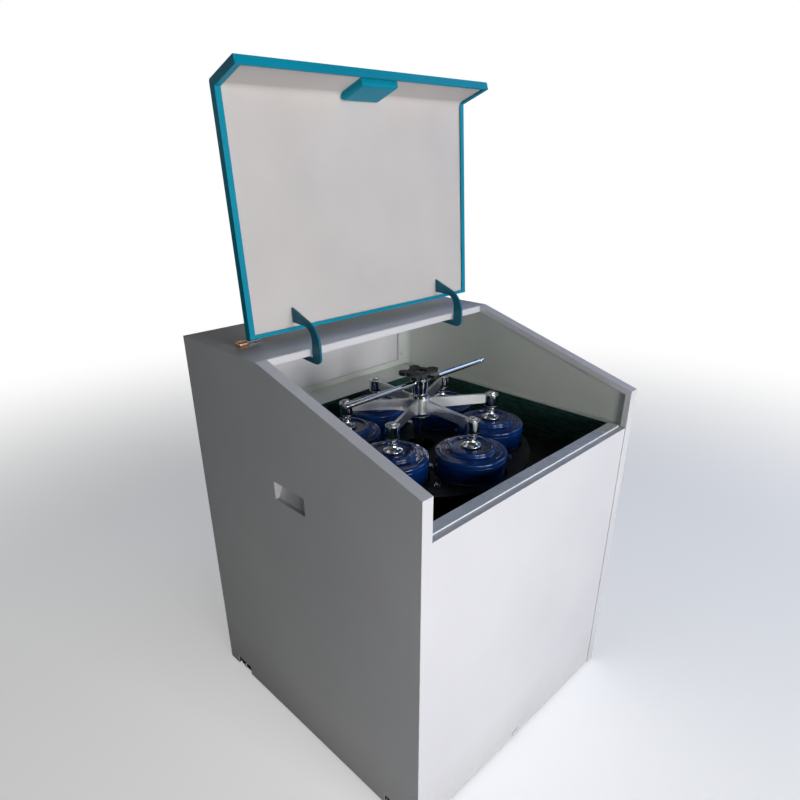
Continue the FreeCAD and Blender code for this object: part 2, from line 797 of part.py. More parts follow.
def hingeBracket(label, side):
    body = newBody(label)
    middle = side * size("ArmPlace")
    halfGap = size("ArmPlate") / 2 + size("EarGap")
    half = halfGap + size("EarThickness")
    reach = size("EarWidth") / 2
    low = pivotZ - size("EarDrop")
    top = rearTop - gauge
    ear = [
        (pivotY - reach, top),
        (pivotY + reach, top),
        (pivotY + reach, pivotZ),
        (pivotY + reach / 2, low),
        (pivotY - reach / 2, low),
        (pivotY - reach, pivotZ),
    ]
    prism(body, "YZ", ear, middle - half, 2 * half)
    slotTop = pivotZ + size("ArmEye") + 0.5
    slot = rectangle(pivotY - reach - 1, pivotY + reach + 1, low - 1, slotTop)
    prism(body, "YZ", slot, middle - halfGap, 2 * halfGap, cut=True)
    rod(body, "YZ", pivotY, pivotZ, size("PinRadius"), middle - half, 2 * half, cut=True)


def hingePins():
    body = newBody("hinge_pins")
    half = size("ArmPlate") / 2 + size("EarGap") + size("EarThickness")
    head = size("PinHead") / 2
    for side in (-1, 1):
        middle = side * size("ArmPlace")
        rod(body, "YZ", pivotY, pivotZ, size("PinRadius"), middle - half, 2 * half + head)
        rod(body, "YZ", pivotY, pivotZ, size("PinHead"), middle - half - head, head)


# lid, drawn shut

lidHalf = rimInner - size("LidSideGap")
lidThick = size("LidThickness")
lidGauge = size("LidGauge")
lipY = frontY + size("LidLipInset")
lipEnd = panelTop + size("LidLipGap")
lidRear = size("LidRearGap")
liningFace = lidThick - size("LiningDrop")


def slopePoint(distance, depth):
    # distance down the slope from its top, depth square below it
    y = slopeTopY - distance * slopeCos + depth * slopeSin
    z = rearTop - distance * slopeSin - depth * slopeCos
    return (y, z)


def bendPoint(depth):
    return (lipY + depth, under(lipY + depth, depth))


def lidSection(rearMargin, endMargin, shallow, deep):
    # the lid's bent section between two depths, as seen from its side
    return [
        slopePoint(lidRear + rearMargin, shallow),
        bendPoint(shallow),
        (lipY + shallow, lipEnd + endMargin),
        (lipY + deep, lipEnd + endMargin),
        bendPoint(deep),
        slopePoint(lidRear + rearMargin, deep),
    ]


def swingOpen(body):
    swing = -size("LidOpenAngle")
    body.Placement = Placement(Vector(), Rotation(Vector(1, 0, 0), swing.value))
    bind(body, "Placement.Rotation.Angle", swing)
    bind(body, "Placement.Base.y", pivotY - (cosine(swing) * pivotY - sine(swing) * pivotZ))
    bind(body, "Placement.Base.z", pivotZ - (sine(swing) * pivotY + cosine(swing) * pivotZ))


def opened(point):
    # where a point of the shut lid is once the lid is open
    swing = -size("LidOpenAngle")
    y = point[0] - pivotY
    z = point[1] - pivotZ
    openY = pivotY + cosine(swing) * y - sine(swing) * z
    openZ = pivotZ + sine(swing) * y + cosine(swing) * z
    return (openY, openZ)


def gripRectangle(shrink):
    half = size("GripWidth") / 2 - shrink
    low = lipEnd + size("GripStart") + shrink
    high = lipEnd + size("GripStart") + size("GripHeight") - shrink
    return rectangle(-half, half, low, high)


def lidShell():
    body = newBody("lid_shell")
    zero = Size(0)
    prism(body, "YZ", lidSection(zero, zero, zero, lidThick), -lidHalf, 2 * lidHalf)
    rounded(body, size("LidBend"), alongX([bendPoint(zero)]))
    pan = lidSection(lidGauge, lidGauge, lidGauge, lidThick - lidGauge)
    prism(body, "YZ", pan, -lidHalf + lidGauge, 2 * (lidHalf - lidGauge), cut=True)
    rounded(body, size("LidBend") - lidGauge, alongX([bendPoint(lidGauge)]))
    window = lidSection(size("LidRearReturn"), size("LidTipReturn"), lidThick / 2, lidThick + 5)
    half = lidHalf - size("LidReturn")
    prism(body, "YZ", window, -half, 2 * half, cut=True)
    prism(body, "XZ", gripRectangle(size("GripWall")), lipY - 1, lidGauge + 2, cut=True)
    swingOpen(body)


def lidLining():
    # fills the pan up to a step below the inner flange
    body = newBody("lid_lining")
    fill = lidSection(lidGauge, lidGauge, lidGauge, liningFace)
    prism(body, "YZ", fill, -lidHalf + lidGauge, 2 * (lidHalf - lidGauge))
    rounded(body, size("LiningCove"), alongX([bendPoint(liningFace)]))
    rounded(body, size("LidBend") - lidGauge, alongX([bendPoint(lidGauge)]))
    prism(body, "XZ", gripRectangle(Size(0)), lipY, size("GripReach"), cut=True)
    swingOpen(body)


def lidGrip():
    # the pull's cup stands behind the lip and opens to the front
    body = newBody("lid_grip")
    wall = size("GripWall")
    start = lipY + lidGauge
    deep = size("GripReach") - lidGauge
    prism(body, "XZ", gripRectangle(Size(0)), start, deep)
    rearFace = lipY + size("GripReach")

    def rearEdge(a, b):
        return abs(a.y - rearFace.value) < 0.01 and abs(b.y - rearFace.value) < 0.01
    rounded(body, size("GripEdge"), rearEdge)
    prism(body, "XZ", gripRectangle(wall), start, deep - wall - size("GripEdge") / 2, cut=True)
    swingOpen(body)


def hingeArm(label, side):
    # goose-neck plate that hooks round the turned-down edge of the flat top,
    # drawn with the lid open
    body = newBody(label)
    rearCorner = opened(slopePoint(lidRear, liningFace))
    tilt = size("LidOpenAngle") - 90 - slopeAngle
    low = size("ArmRootLow")
    high = size("ArmRootHigh")
    neckFront = pivotY - size("ArmReach")
    neckBack = neckFront + size("ArmWidth")
    tailTop = pivotZ - size("ArmTailDrop")
    tailBottom = tailTop - size("ArmTail")
    innerTop = pivotZ + size("ArmTop")
    eye = size("ArmEye")
    outline = [
        (rearCorner[0] + low * sine(tilt), rearCorner[1] + low * cosine(tilt)),
        (neckBack, innerTop),
        (neckBack, tailTop),
        (pivotY - eye / 2, tailTop),
        (pivotY, pivotZ),
        (pivotY + eye / 2, pivotZ - eye),
        (pivotY, tailBottom + size("ArmTail") / 3),
        (neckBack, tailBottom),
        (neckFront, tailBottom),
        (neckFront, innerTop - 1),
        (rearCorner[0] + high * sine(tilt), rearCorner[1] + high * cosine(tilt)),
    ]
    start = side * size("ArmPlace") - size("ArmPlate") / 2
    prism(body, "YZ", outline, start, size("ArmPlate"))
    rounded(body, size("ArmWidth"), alongX([(neckBack, innerTop)]))
    rounded(body, 2.2 * size("ArmWidth"), alongX([(neckFront, innerTop - 1)]))
    rounded(body, size("ArmWidth") * 0.6, alongX([(neckFront, tailBottom)]))
    rod(body, "YZ", pivotY, pivotZ, eye, start, size("ArmPlate"))
    rod(body, "YZ", pivotY, pivotZ, size("PinRadius") + running, start, size("ArmPlate"), cut=True)


# table and what stands on it

def rubberIsolators():
    body = newBody("rubber_isolators")
    height = size("IsolatorHeight")
    waist = size("IsolatorRadius")
    plate = size("IsolatorPlate")
    reach = size("PostSpread") / cosine(Size(45))
    profile = [
        (Size(0), Size(0)),
        (plate, Size(0)),
        (plate, height / 18),
        (waist - 3, height / 6),
        (waist, height / 2),
        (waist - 3, height * 5 / 6),
        (plate, height * 17 / 18),
        (plate, height),
        (Size(0), height),
    ]
    around(body, [turned(body, profile, reach)], Size(4))
    setPlace(body, 0, clampY, postTop, Size(45))


def tablePlate():
    body = newBody("table_plate")
    room = gauge + size("TableGap")
    half = rimInner - gap - room
    plate = rectangle(-half, half, wellFrontY + room, wellRearY - room)
    prism(body, "XY", plate, tableBottom, size("TableThickness"))
    rounded(body, size("TableCorner"), upright)


def bowlNest():
    # black plate whose holes keep the bowls in their places
    body = newBody("bowl_nest")
    thick = size("NestThickness")
    rod(body, "XY", Size(0), Size(0), size("NestRadius"), Size(0), thick)
    rod(body, "XY", Size(0), Size(0), size("ScrewFoot"), Size(0), thick, cut=True)
    room = size("BowlRadius") + size("NestRoom")
    hole = rod(body, "XY", size("BowlCircle"), Size(0), room, Size(0), thick, cut=True)
    around(body, [hole], size("BowlCount"))
    holes = []
    bolt = size("NestSpacer") / 2 + size("NestBoltRoom")
    for reach in (size("NestBoltOuter"), size("NestBoltInner")):
        x, y = betweenBowls(reach)
        holes.append(rod(body, "XY", x, y, bolt, Size(0), thick, cut=True))
    around(body, holes, size("BowlCount"))
    setPlace(body, 0, clampY, tableTop + size("NestLevel"), size("BowlBearingAngle"))


def betweenBowls(reach):
    bearing = Size(180) / size("BowlCount")
    return (reach * cosine(bearing), reach * sine(bearing))


def nestBolts():
    body = newBody("nest_bolts")
    level = size("NestLevel")
    thick = size("NestThickness")
    pieces = []
    for reach in (size("NestBoltOuter"), size("NestBoltInner")):
        x, y = betweenBowls(reach)
        pieces.append(rod(body, "XY", x, y, size("NestSpacer"), Size(0), level))
        pieces.append(rod(body, "XY", x, y, size("NestSpacer") / 2, level, thick))
        head = hexagon(x, y, size("NestBoltSize"))
        pieces.append(prism(body, "XY", head, level + thick, size("NestBoltHead")))
    around(body, pieces, size("BowlCount"))
    setPlace(body, 0, clampY, tableTop, size("BowlBearingAngle"))


def bowlPlace(body, number, level):
    bearing = size("BowlBearingAngle") + Size(360) / size("BowlCount") * number
    x = size("BowlCircle") * cosine(bearing)
    y = clampY + size("BowlCircle") * sine(bearing)
    setPlace(body, x, y, level)


def bowl(label, number):
    body = newBody(label)
    radius = size("BowlRadius")
    side = radius - 1
    hollow = radius - size("BowlWall")
    height = size("BowlHeight")
    profile = [
        (Size(0), Size(0)),
        (side - 4, Size(0)),
        (side, Size(4)),
        (side, height - 9),
        (radius, height - 7),
        (radius, height),
        (hollow, height),
        (hollow, size("BowlFloor")),
        (Size(0), size("BowlFloor")),
    ]
    turned(body, profile)
    bowlPlace(body, number, tableTop)


def bowlLid(label, number):
    body = newBody(label)
    radius = size("BowlRadius")
    rise = size("BowlLidRise")
    boss = size("BowlBossRise")
    bossRadius = size("BowlBossRadius")
    recess = size("BowlRecessRadius")
    spigot = radius - size("BowlWall") - 0.5
    profile = [
        (Size(0), -size("SpigotDepth")),
        (spigot, -size("SpigotDepth")),
        (spigot, Size(0)),
        (radius, Size(0)),
        (radius, rise - 2),
        (radius - 2, rise),
        (bossRadius, rise + 2),
        (bossRadius, boss - 1),
        (bossRadius - 1, boss),
        (recess + 1, boss),
        (recess, boss - 1),
        (recess, boss - size("BowlRecessDrop")),
        (Size(0), boss - size("BowlRecessDrop")),
    ]
    turned(body, profile)
    bowlPlace(body, number, bowlTop)


def grindingRings():
    body = newBody("grinding_rings")
    outer = size("GrindRingRadius")
    inner = size("GrindRingBore")
    height = size("GrindHeight")
    ring = turned(body, rectangle(inner, outer, Size(0), height), size("BowlCircle"))
    around(body, [ring], size("BowlCount"))
    setPlace(body, 0, clampY, tableTop + size("BowlFloor"), size("BowlBearingAngle"))


def grindingPucks():
    body = newBody("grinding_pucks")
    height = size("GrindHeight")
    puck = turned(body, rectangle(Size(0), size("PuckRadius"), Size(0), height), size("BowlCircle"))
    around(body, [puck], size("BowlCount"))
    setPlace(body, 0, clampY, tableTop + size("BowlFloor"), size("BowlBearingAngle"))


# clamp

def clampScrew():
    body = newBody("clamp_screw")
    radius = size("ScrewRadius")
    reach = size("ScrewReach")
    profile = [
        (Size(0), Size(0)),
        (size("ScrewFoot"), Size(0)),
        (size("ScrewFoot"), Size(8)),
        (1.5 * radius, Size(14)),
        (radius, Size(26)),
        (radius, reach - 1.5),
        (radius - 1.5, reach),
        (Size(0), reach),
    ]
    turned(body, profile)
    setPlace(body, 0, clampY, tableTop)


def clampStar():
    # hub, blade arms that deepen towards the hub, and a boss at each arm's end
    body = newBody("clamp_star")
    hub = size("StarHubRadius")
    reach = size("BowlCircle")
    half = size("StarArmThickness") / 2
    top = size("StarBossHeight")
    root = size("StarArmRoot")
    waist = size("StarArmWaist")
    hubBottom = nutBottom - bossBottom - size("StarHubHeight")
    rod(body, "XY", Size(0), Size(0), hub, hubBottom, size("StarHubHeight"))
    arm = prism(body, "XZ", [
        (hub / 2, top),
        (reach, top),
        (reach, top - waist + 3),
        (hub * 2.5, top - waist),
        (hub * 1.6, top - waist - 4),
        (hub, top - root),
        (hub / 2, top - root),
    ], -half, 2 * half)
    boss = rod(body, "XY", reach, Size(0), size("StarBossRadius"), Size(0), top)
    hole = rod(body, "XY", reach, Size(0), size("PressStem"), Size(0), top, cut=True)
    around(body, [arm, boss, hole], size("BowlCount"))
    bore = size("ScrewRadius") + running
    rod(body, "XY", Size(0), Size(0), bore, hubBottom, size("StarHubHeight"), cut=True)
    setPlace(body, 0, clampY, bossBottom, size("BowlBearingAngle"))


def pressFeet():
    body = newBody("press_feet")
    radius = size("PressFootRadius")
    stem = size("PressStem")
    cone = size("PressCone")
    top = bossTop - pressLevel
    profile = [
        (Size(0), Size(0)),
        (radius - 4, Size(0)),
        (radius, Size(4)),
        (radius, Size(7)),
        (stem + 2, cone),
        (stem, cone),
        (stem, top),
        (Size(0), top),
    ]
    foot = turned(body, profile, size("BowlCircle"))
    flats = hexagon(size("BowlCircle"), Size(0), size("PressNutSize"))
    nut = prism(body, "XY", flats, top, size("PressNutHeight"))
    lockNut = prism(body, "XY", flats, cone + 3, size("PressNutHeight"))
    around(body, [foot, nut, lockNut], size("BowlCount"))
    setPlace(body, 0, clampY, pressLevel, size("BowlBearingAngle"))


def clampNut():
    body = newBody("clamp_nut")
    radius = size("NutRadius")
    waist = size("NutWaist")
    height = size("NutHeight")
    bar = height - size("TeeBarDrop")
    profile = [
        (Size(0), Size(0)),
        (radius, Size(0)),
        (radius, Size(6)),
        (waist, Size(9)),
        (radius, bar - size("TeeBarRadius") - 3),
        (radius, height),
        (Size(0), height),
    ]
    turned(body, profile)
    bore = size("ScrewRadius") + running
    rod(body, "XY", Size(0), Size(0), bore, Size(0), size("NutBore"), cut=True)
    rod(body, "YZ", Size(0), bar, size("TeeBarRadius"), -radius - 1, 2 * radius + 2, cut=True)
    setPlace(body, 0, clampY, nutBottom)


def teeBar():
    body = newBody("tee_bar")
    radius = size("TeeBarRadius")
    half = size("TeeBarLength") / 2
    shift = size("TeeBarShift")
    level = nutTop - size("TeeBarDrop")
    end = radius / 3
    rod(body, "YZ", clampY, level, radius, shift - half + end, 2 * half - 2 * end)
    rod(body, "YZ", clampY, level, radius - 1, shift - half, end)
    rod(body, "YZ", clampY, level, radius - 1, shift + half - end, end)


def lobeKnob():
    body = newBody("lobe_knob")
    rise = size("KnobRise")
    height = size("KnobHeight")
    zero = Size(0)
    rod(body, "XY", zero, zero, size("KnobRadius") * 0.6, zero, rise)
    rod(body, "XY", zero, zero, size("KnobRadius"), rise, height)
    lobe = rod(body, "XY", size("KnobReach"), zero, size("KnobLobe"), rise, height)
    around(body, [lobe], size("KnobLobes"))
    rod(body, "XY", zero, zero, size("KnobRadius") / 2, rise + height - 2, Size(2), cut=True)
    # one lobe points to the left rear, as the knob stands when the clamp is tight
    setPlace(body, 0, clampY, nutTop, size("KnobAngle"))


# drive

def motorHousing():
    body = newBody("motor_housing")
    radius = size("MotorRadius")
    bell = size("MotorBell")
    length = size("MotorLength")
    flange = size("MotorFlange")
    zero = Size(0)
    rod(body, "XY", zero, zero, size("MotorBellRadius"), zero, bell)
    rod(body, "XY", zero, zero, radius, bell, length - bell)
    rod(body, "XY", zero, zero, size("MotorFlangeRadius"), length, flange)
    half = size("MotorRib") / 2
    side = rectangle(radius - 2, radius + size("MotorRibRise"), -half, half)
    ribInset = size("MotorRibInset")
    rib = prism(body, "XY", side, bell + ribInset, length - bell - 2 * ribInset)
    around(body, [rib], size("MotorRibs"))
    rod(body, "XY", zero, zero, size("ShaftRadius") + running, zero, length, cut=True)
    setPlace(body, 0, clampY, tableBottom - length - flange)


def terminalBox():
    body = newBody("terminal_box")
    half = size("TerminalWidth") / 2
    inner = size("MotorRadius") + size("MotorRibRise")
    low = tableBottom - size("MotorFlange") - size("MotorLength") / 2 - size("TerminalHeight") / 2
    side = rectangle(inner, inner + size("TerminalReach"), -half, half)
    prism(body, "XY", side, Size(0), size("TerminalHeight"))
    rounded(body, size("TerminalReach") / 6, upright)
    setPlace(body, 0, clampY, low)


def motorBolts():
    body = newBody("motor_bolts")
    head = hexagon(size("MotorBoltCircle"), Size(0), size("MotorBoltSize"))
    bolt = prism(body, "XY", head, Size(0), size("MotorBoltHead"))
    around(body, [bolt], size("MotorBolts"))
    level = tableBottom - size("MotorFlange") - size("MotorBoltHead")
    setPlace(body, 0, clampY, level, size("MotorBoltAngle"))


def rotorShaft():
    body = newBody("rotor_shaft")
    radius = size("ShaftRadius")
    length = size("ShaftReach") + size("MotorLength") - 4
    thread = size("WeightDrop") + size("WeightHeight")
    profile = [
        (Size(0), Size(0)),
        (radius - 4, Size(0)),
        (radius - 3, Size(1)),
        (radius - 3, size("ShaftReach") - thread),
        (radius, size("ShaftReach") - thread),
        (radius, length),
        (Size(0), length),
    ]
    turned(body, profile)
    setPlace(body, 0, clampY, bellBottom() - size("ShaftReach"))


def bellBottom():
    return tableBottom - size("MotorFlange") - size("MotorLength")


def eccentricWeight():
    # half disc on a clamping hub
    body = newBody("eccentric_weight")
    radius = size("WeightRadius")
    height = size("WeightHeight")
    zero = Size(0)
    rod(body, "XY", zero, zero, radius, zero, height)
    half = rectangle(-radius - 1, zero, -radius - 1, radius + 1)
    prism(body, "XY", half, zero, height, cut=True)
    rod(body, "XY", zero, zero, size("WeightHub"), zero, height)
    rod(body, "XY", zero, zero, size("ShaftRadius"), zero, height, cut=True)
    setPlace(body, 0, clampY, bellBottom() - size("WeightDrop") - height)


def shaftNut():
    body = newBody("shaft_nut")
    zero = Size(0)
    height = size("ShaftNutHeight")
    prism(body, "XY", hexagon(zero, zero, size("ShaftNutSize")), zero, height)
    rod(body, "XY", zero, zero, size("ShaftRadius") - 3, zero, height, cut=True)
    level = bellBottom() - size("WeightDrop") - size("WeightHeight") - height
    setPlace(body, 0, clampY, level)


sidePanel("side_panel_left", -1)
sidePanel("side_panel_right", 1)
handCup("hand_cup_left", -1)
handCup("hand_cup_right", 1)
frontPanel()
rearPanel()
topPanel()
linerWall("well_liner_left", -1)
linerWall("well_liner_right", 1)
frontRail()
wellTub()
rearLedge()
baseRail("base_rail_left", -1)
baseRail("base_rail_right", 1)
floorPlate()
springPosts()
machineFeet()
footBolts()
frontCatch()
cableGrommet()
hingeBracket("hinge_bracket_left", -1)
hingeBracket("hinge_bracket_right", 1)
hingePins()
lidShell()
lidLining()
lidGrip()
hingeArm("hinge_arm_left", -1)
hingeArm("hinge_arm_right", 1)
rubberIsolators()
tablePlate()
bowlNest()
nestBolts()
for number in range(int(size("BowlCount").value)):
    bowl("bowl_%d" % (number + 1), number)
    bowlLid("bowl_lid_%d" % (number + 1), number)
grindingRings()
grindingPucks()
clampScrew()
clampStar()
pressFeet()
clampNut()
teeBar()
lobeKnob()
motorHousing()
terminalBox()
motorBolts()
rotorShaft()
eccentricWeight()
shaftNut()
doc.recompute()

for thing in doc.Objects:
    if "Invalid" in thing.State or "Error" in thing.State:
        raise RuntimeError("%s did not build: %s" % (thing.Name, thing.State))
for body in subParts:
    if body.Shape.isNull() or not body.Shape.isValid() or not body.Shape.Solids:
        raise RuntimeError("%s has no valid solid" % body.Label)

os.makedirs("parts", exist_ok=True)
for body in subParts:
    body.Shape.exportStep("parts/%s.step" % body.Label)
print("%d sub-parts written" % len(subParts))
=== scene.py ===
import json
import math

import bmesh
import bpy
from mathutils import Matrix, Vector


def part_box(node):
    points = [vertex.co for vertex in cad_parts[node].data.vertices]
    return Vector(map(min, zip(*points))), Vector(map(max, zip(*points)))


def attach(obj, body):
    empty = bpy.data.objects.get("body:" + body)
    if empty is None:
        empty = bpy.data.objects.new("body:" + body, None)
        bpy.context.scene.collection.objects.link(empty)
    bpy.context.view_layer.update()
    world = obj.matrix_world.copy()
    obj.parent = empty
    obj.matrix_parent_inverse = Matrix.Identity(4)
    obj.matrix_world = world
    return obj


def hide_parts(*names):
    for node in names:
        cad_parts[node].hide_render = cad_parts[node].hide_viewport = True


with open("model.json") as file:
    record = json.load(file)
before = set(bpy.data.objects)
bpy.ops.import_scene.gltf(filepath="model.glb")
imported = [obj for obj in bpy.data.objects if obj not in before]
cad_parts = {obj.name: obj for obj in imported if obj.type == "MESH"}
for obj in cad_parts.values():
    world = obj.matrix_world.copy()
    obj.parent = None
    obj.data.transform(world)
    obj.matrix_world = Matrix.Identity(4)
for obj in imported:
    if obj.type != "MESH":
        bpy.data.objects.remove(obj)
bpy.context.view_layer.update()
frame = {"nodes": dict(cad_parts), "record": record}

bodyOf = {node: body for body, nodes in frame["record"]["behaviour"]["bodies"].items() for node in nodes}
slotOf = {entry["node"]: entry["material_slot"] for entry in frame["record"]["subparts"]}
print("frame loaded:", len(frame["nodes"]), "nodes")

# camera at the photograph's place, worked out from the cabinet's corners

cameraPlace = {
    "location": (-0.94457, -0.89907, 1.25568),
    "azimuth": -44.2165,
    "elevation": 25.0792,
    "roll": -0.5475,
    "lens": 27.7387,
    "sensor": 36.0,
    "shift": (0.01125, 0.05872),
}


def makeCamera(place):
    turn = math.radians(place["azimuth"])
    tilt = math.radians(place["elevation"])
    roll = math.radians(place["roll"])
    back = Vector((math.sin(turn) * math.cos(tilt), -math.cos(turn) * math.cos(tilt), math.sin(tilt)))
    right = Vector((0, 0, 1)).cross(back).normalized()
    up = back.cross(right)
    rolledRight = right * math.cos(roll) + up * math.sin(roll)
    rolledUp = up * math.cos(roll) - right * math.sin(roll)
    camera = bpy.data.objects.new("camera", bpy.data.cameras.new("camera"))
    camera.data.sensor_width = place["sensor"]
    camera.data.lens = place["lens"]
    camera.data.shift_x, camera.data.shift_y = place["shift"]
    camera.data.clip_start = 0.02
    camera.data.clip_end = 100
    axes = Matrix((rolledRight, rolledUp, back)).transposed().to_4x4()
    camera.matrix_world = Matrix.Translation(place["location"]) @ axes
    bpy.context.scene.collection.objects.link(camera)
    bpy.context.scene.camera = camera


makeCamera(cameraPlace)
bpy.context.scene.view_settings.view_transform = "Standard"


def linearColour(hexText):
    channels = []
    for start in (1, 3, 5):
        value = int(hexText[start:start + 2], 16) / 255
        channels.append(value / 12.92 if value <= 0.04045 else ((value + 0.055) / 1.055) ** 2.4)
    return (*channels, 1.0)


def perMetre(millimetres):
    return 1000 / millimetres  # a texture scale whose pattern repeats about every so many mm


def addNode(tree, kind, settings=None, links=None):
    node = tree.nodes.new(kind)
    for name, value in (settings or {}).items():
        if isinstance(name, int) or name in node.inputs:
            node.inputs[name].default_value = value
        else:
            setattr(node, name, value)
    for name, output in (links or {}).items():
        tree.links.new(output, node.inputs[name])
    return node


def startMaterial(name):
    material = bpy.data.materials.new(name)
    material.use_nodes = True
    return material, material.node_tree, material.node_tree.nodes["Principled BSDF"]


# studio: pale floor, key lamp from the front, side lamp at the front left, bluish sky lamp at the right

studio = {
    "keyFrom": (0.3, -5.6, 1.45),
    "keySize": 2.0,
    "keyPower": 158,
    "sideFrom": (-1.05, -2.6, 0.85),
    "sideSize": 0.8,
    "sidePower": 22,
    "sideColour": "#fbfbf6",
    "skyFrom": (2.3, -1.0, 2.3),
    "skySize": 1.4,
    "skyPower": 15,
    "skyColour": "#9fc0ff",
    "aim": (0, 0, 0.75),
    "roomColour": "#e0efdf",
    "roomFrom": -0.05,
    "roomTo": 0.42,
    "roomLow": 0.10,
    "roomHigh": 0.015,
    "mirrorFrom": 0.10,
    "mirrorTo": 0.50,
    "mirrorLow": 0.85,
    "mirrorHigh": 0.05,
    "floorRadius": 45,
    "floorColour": "#e9e9ea",
    "floorLift": 0.42,
    "fadeFrom": 1.3,
    "fadeTo": 3.6,
}


def addLamp(name, place, size, power, colour="#ffffff"):
    lamp = bpy.data.lights.new(name, "AREA")
    lamp.size = size
    lamp.energy = power
    lamp.color = linearColour(colour)[:3]
    holder = bpy.data.objects.new(name, lamp)
    holder.location = place
    toAim = Vector(studio["aim"]) - Vector(place)
    holder.rotation_euler = toAim.to_track_quat("-Z", "Y").to_euler()
    bpy.context.scene.collection.objects.link(holder)


def lightRoom():
    # white walls, darker ceiling: plain for the lens, dimmer overhead for what lights and mirrors in the metal
    world = bpy.data.worlds.new("room")
    world.use_nodes = True
    bpy.context.scene.world = world
    tree = world.node_tree
    room = tree.nodes["Background"]
    room.inputs["Color"].default_value = linearColour(studio["roomColour"])
    direction = addNode(tree, "ShaderNodeTexCoord")
    apart = addNode(tree, "ShaderNodeSeparateXYZ", None, {0: direction.outputs["Generated"]})
    soft = addNode(tree, "ShaderNodeMapRange", {
        "interpolation_type": "SMOOTHSTEP", "From Min": studio["roomFrom"], "From Max": studio["roomTo"],
        "To Min": studio["roomLow"], "To Max": studio["roomHigh"],
    }, {"Value": apart.outputs["Z"]})
    tree.links.new(soft.outputs[0], room.inputs["Strength"])
    ceiling = addNode(tree, "ShaderNodeMapRange", {
        "interpolation_type": "SMOOTHSTEP", "From Min": studio["mirrorFrom"], "From Max": studio["mirrorTo"],
        "To Min": studio["mirrorLow"], "To Max": studio["mirrorHigh"],
    }, {"Value": apart.outputs["Z"]})
    white = addNode(tree, "ShaderNodeBackground", {"Color": (1, 1, 1, 1), "Strength": 1.0})
    mirrored = addNode(tree, "ShaderNodeBackground", {"Color": (1, 1, 1, 1)}, {"Strength": ceiling.outputs[0]})
    rays = addNode(tree, "ShaderNodeLightPath")
    seen = addNode(tree, "ShaderNodeMath", {"operation": "MAXIMUM"},
                   {0: rays.outputs["Is Camera Ray"], 1: rays.outputs["Is Transmission Ray"]})
    glossy = addNode(tree, "ShaderNodeMixShader", None,
                     {0: rays.outputs["Is Glossy Ray"], 1: room.outputs[0], 2: mirrored.outputs[0]})
    mix = addNode(tree, "ShaderNodeMixShader", None,
                  {0: seen.outputs[0], 1: glossy.outputs[0], 2: white.outputs[0]})
    tree.links.new(mix.outputs[0], tree.nodes["World Output"].inputs["Surface"])


def layFloor():
    # pale floor that fades to white away from the machine
    material, tree, surface = startMaterial("paleStudioFloor")
    surface.inputs["Base Color"].default_value = linearColour(studio["floorColour"])
    surface.inputs["Roughness"].default_value = 0.8
    place = addNode(tree, "ShaderNodeTexCoord")
    flat = addNode(tree, "ShaderNodeVectorMath", {"operation": "LENGTH"}, {0: place.outputs["Object"]})
    fade = addNode(tree, "ShaderNodeMapRange", {
        "interpolation_type": "SMOOTHSTEP", "From Min": studio["fadeFrom"], "From Max": studio["fadeTo"],
    }, {"Value": flat.outputs["Value"]})
    rays = addNode(tree, "ShaderNodeLightPath")
    seen = addNode(tree, "ShaderNodeMath", {"operation": "MULTIPLY"},
                   {0: rays.outputs["Is Camera Ray"], 1: fade.outputs[0]})
    lift = addNode(tree, "ShaderNodeMath", {"operation": "MULTIPLY", 1: studio["floorLift"]},
                   {0: rays.outputs["Is Camera Ray"]})
    glow = addNode(tree, "ShaderNodeEmission", {"Color": (1, 1, 1, 1)}, {"Strength": lift.outputs[0]})
    white = addNode(tree, "ShaderNodeEmission", {"Color": (1, 1, 1, 1), "Strength": 1.0})
    lifted = addNode(tree, "ShaderNodeAddShader", None, {0: surface.outputs[0], 1: glow.outputs[0]})
    mix = addNode(tree, "ShaderNodeMixShader", None,
                  {0: seen.outputs[0], 1: lifted.outputs[0], 2: white.outputs[0]})
    tree.links.new(mix.outputs[0], tree.nodes["Material Output"].inputs["Surface"])
    shape = bmesh.new()
    bmesh.ops.create_circle(shape, cap_ends=True, segments=96, radius=studio["floorRadius"])
    mesh = bpy.data.meshes.new("floor")
    shape.to_mesh(mesh)
    shape.free()
    floor = bpy.data.objects.new("floor", mesh)
    floor.data.materials.append(material)
    bpy.context.scene.collection.objects.link(floor)


addLamp("keyLamp", studio["keyFrom"], studio["keySize"], studio["keyPower"])
addLamp("sideLamp", studio["sideFrom"], studio["sideSize"], studio["sidePower"], studio["sideColour"])
addLamp("skyLamp", studio["skyFrom"], studio["skySize"], studio["skyPower"], studio["skyColour"])
lightRoom()
layFloor()
print("studio ready")

# finishes, each started from the real material and how its surface was made


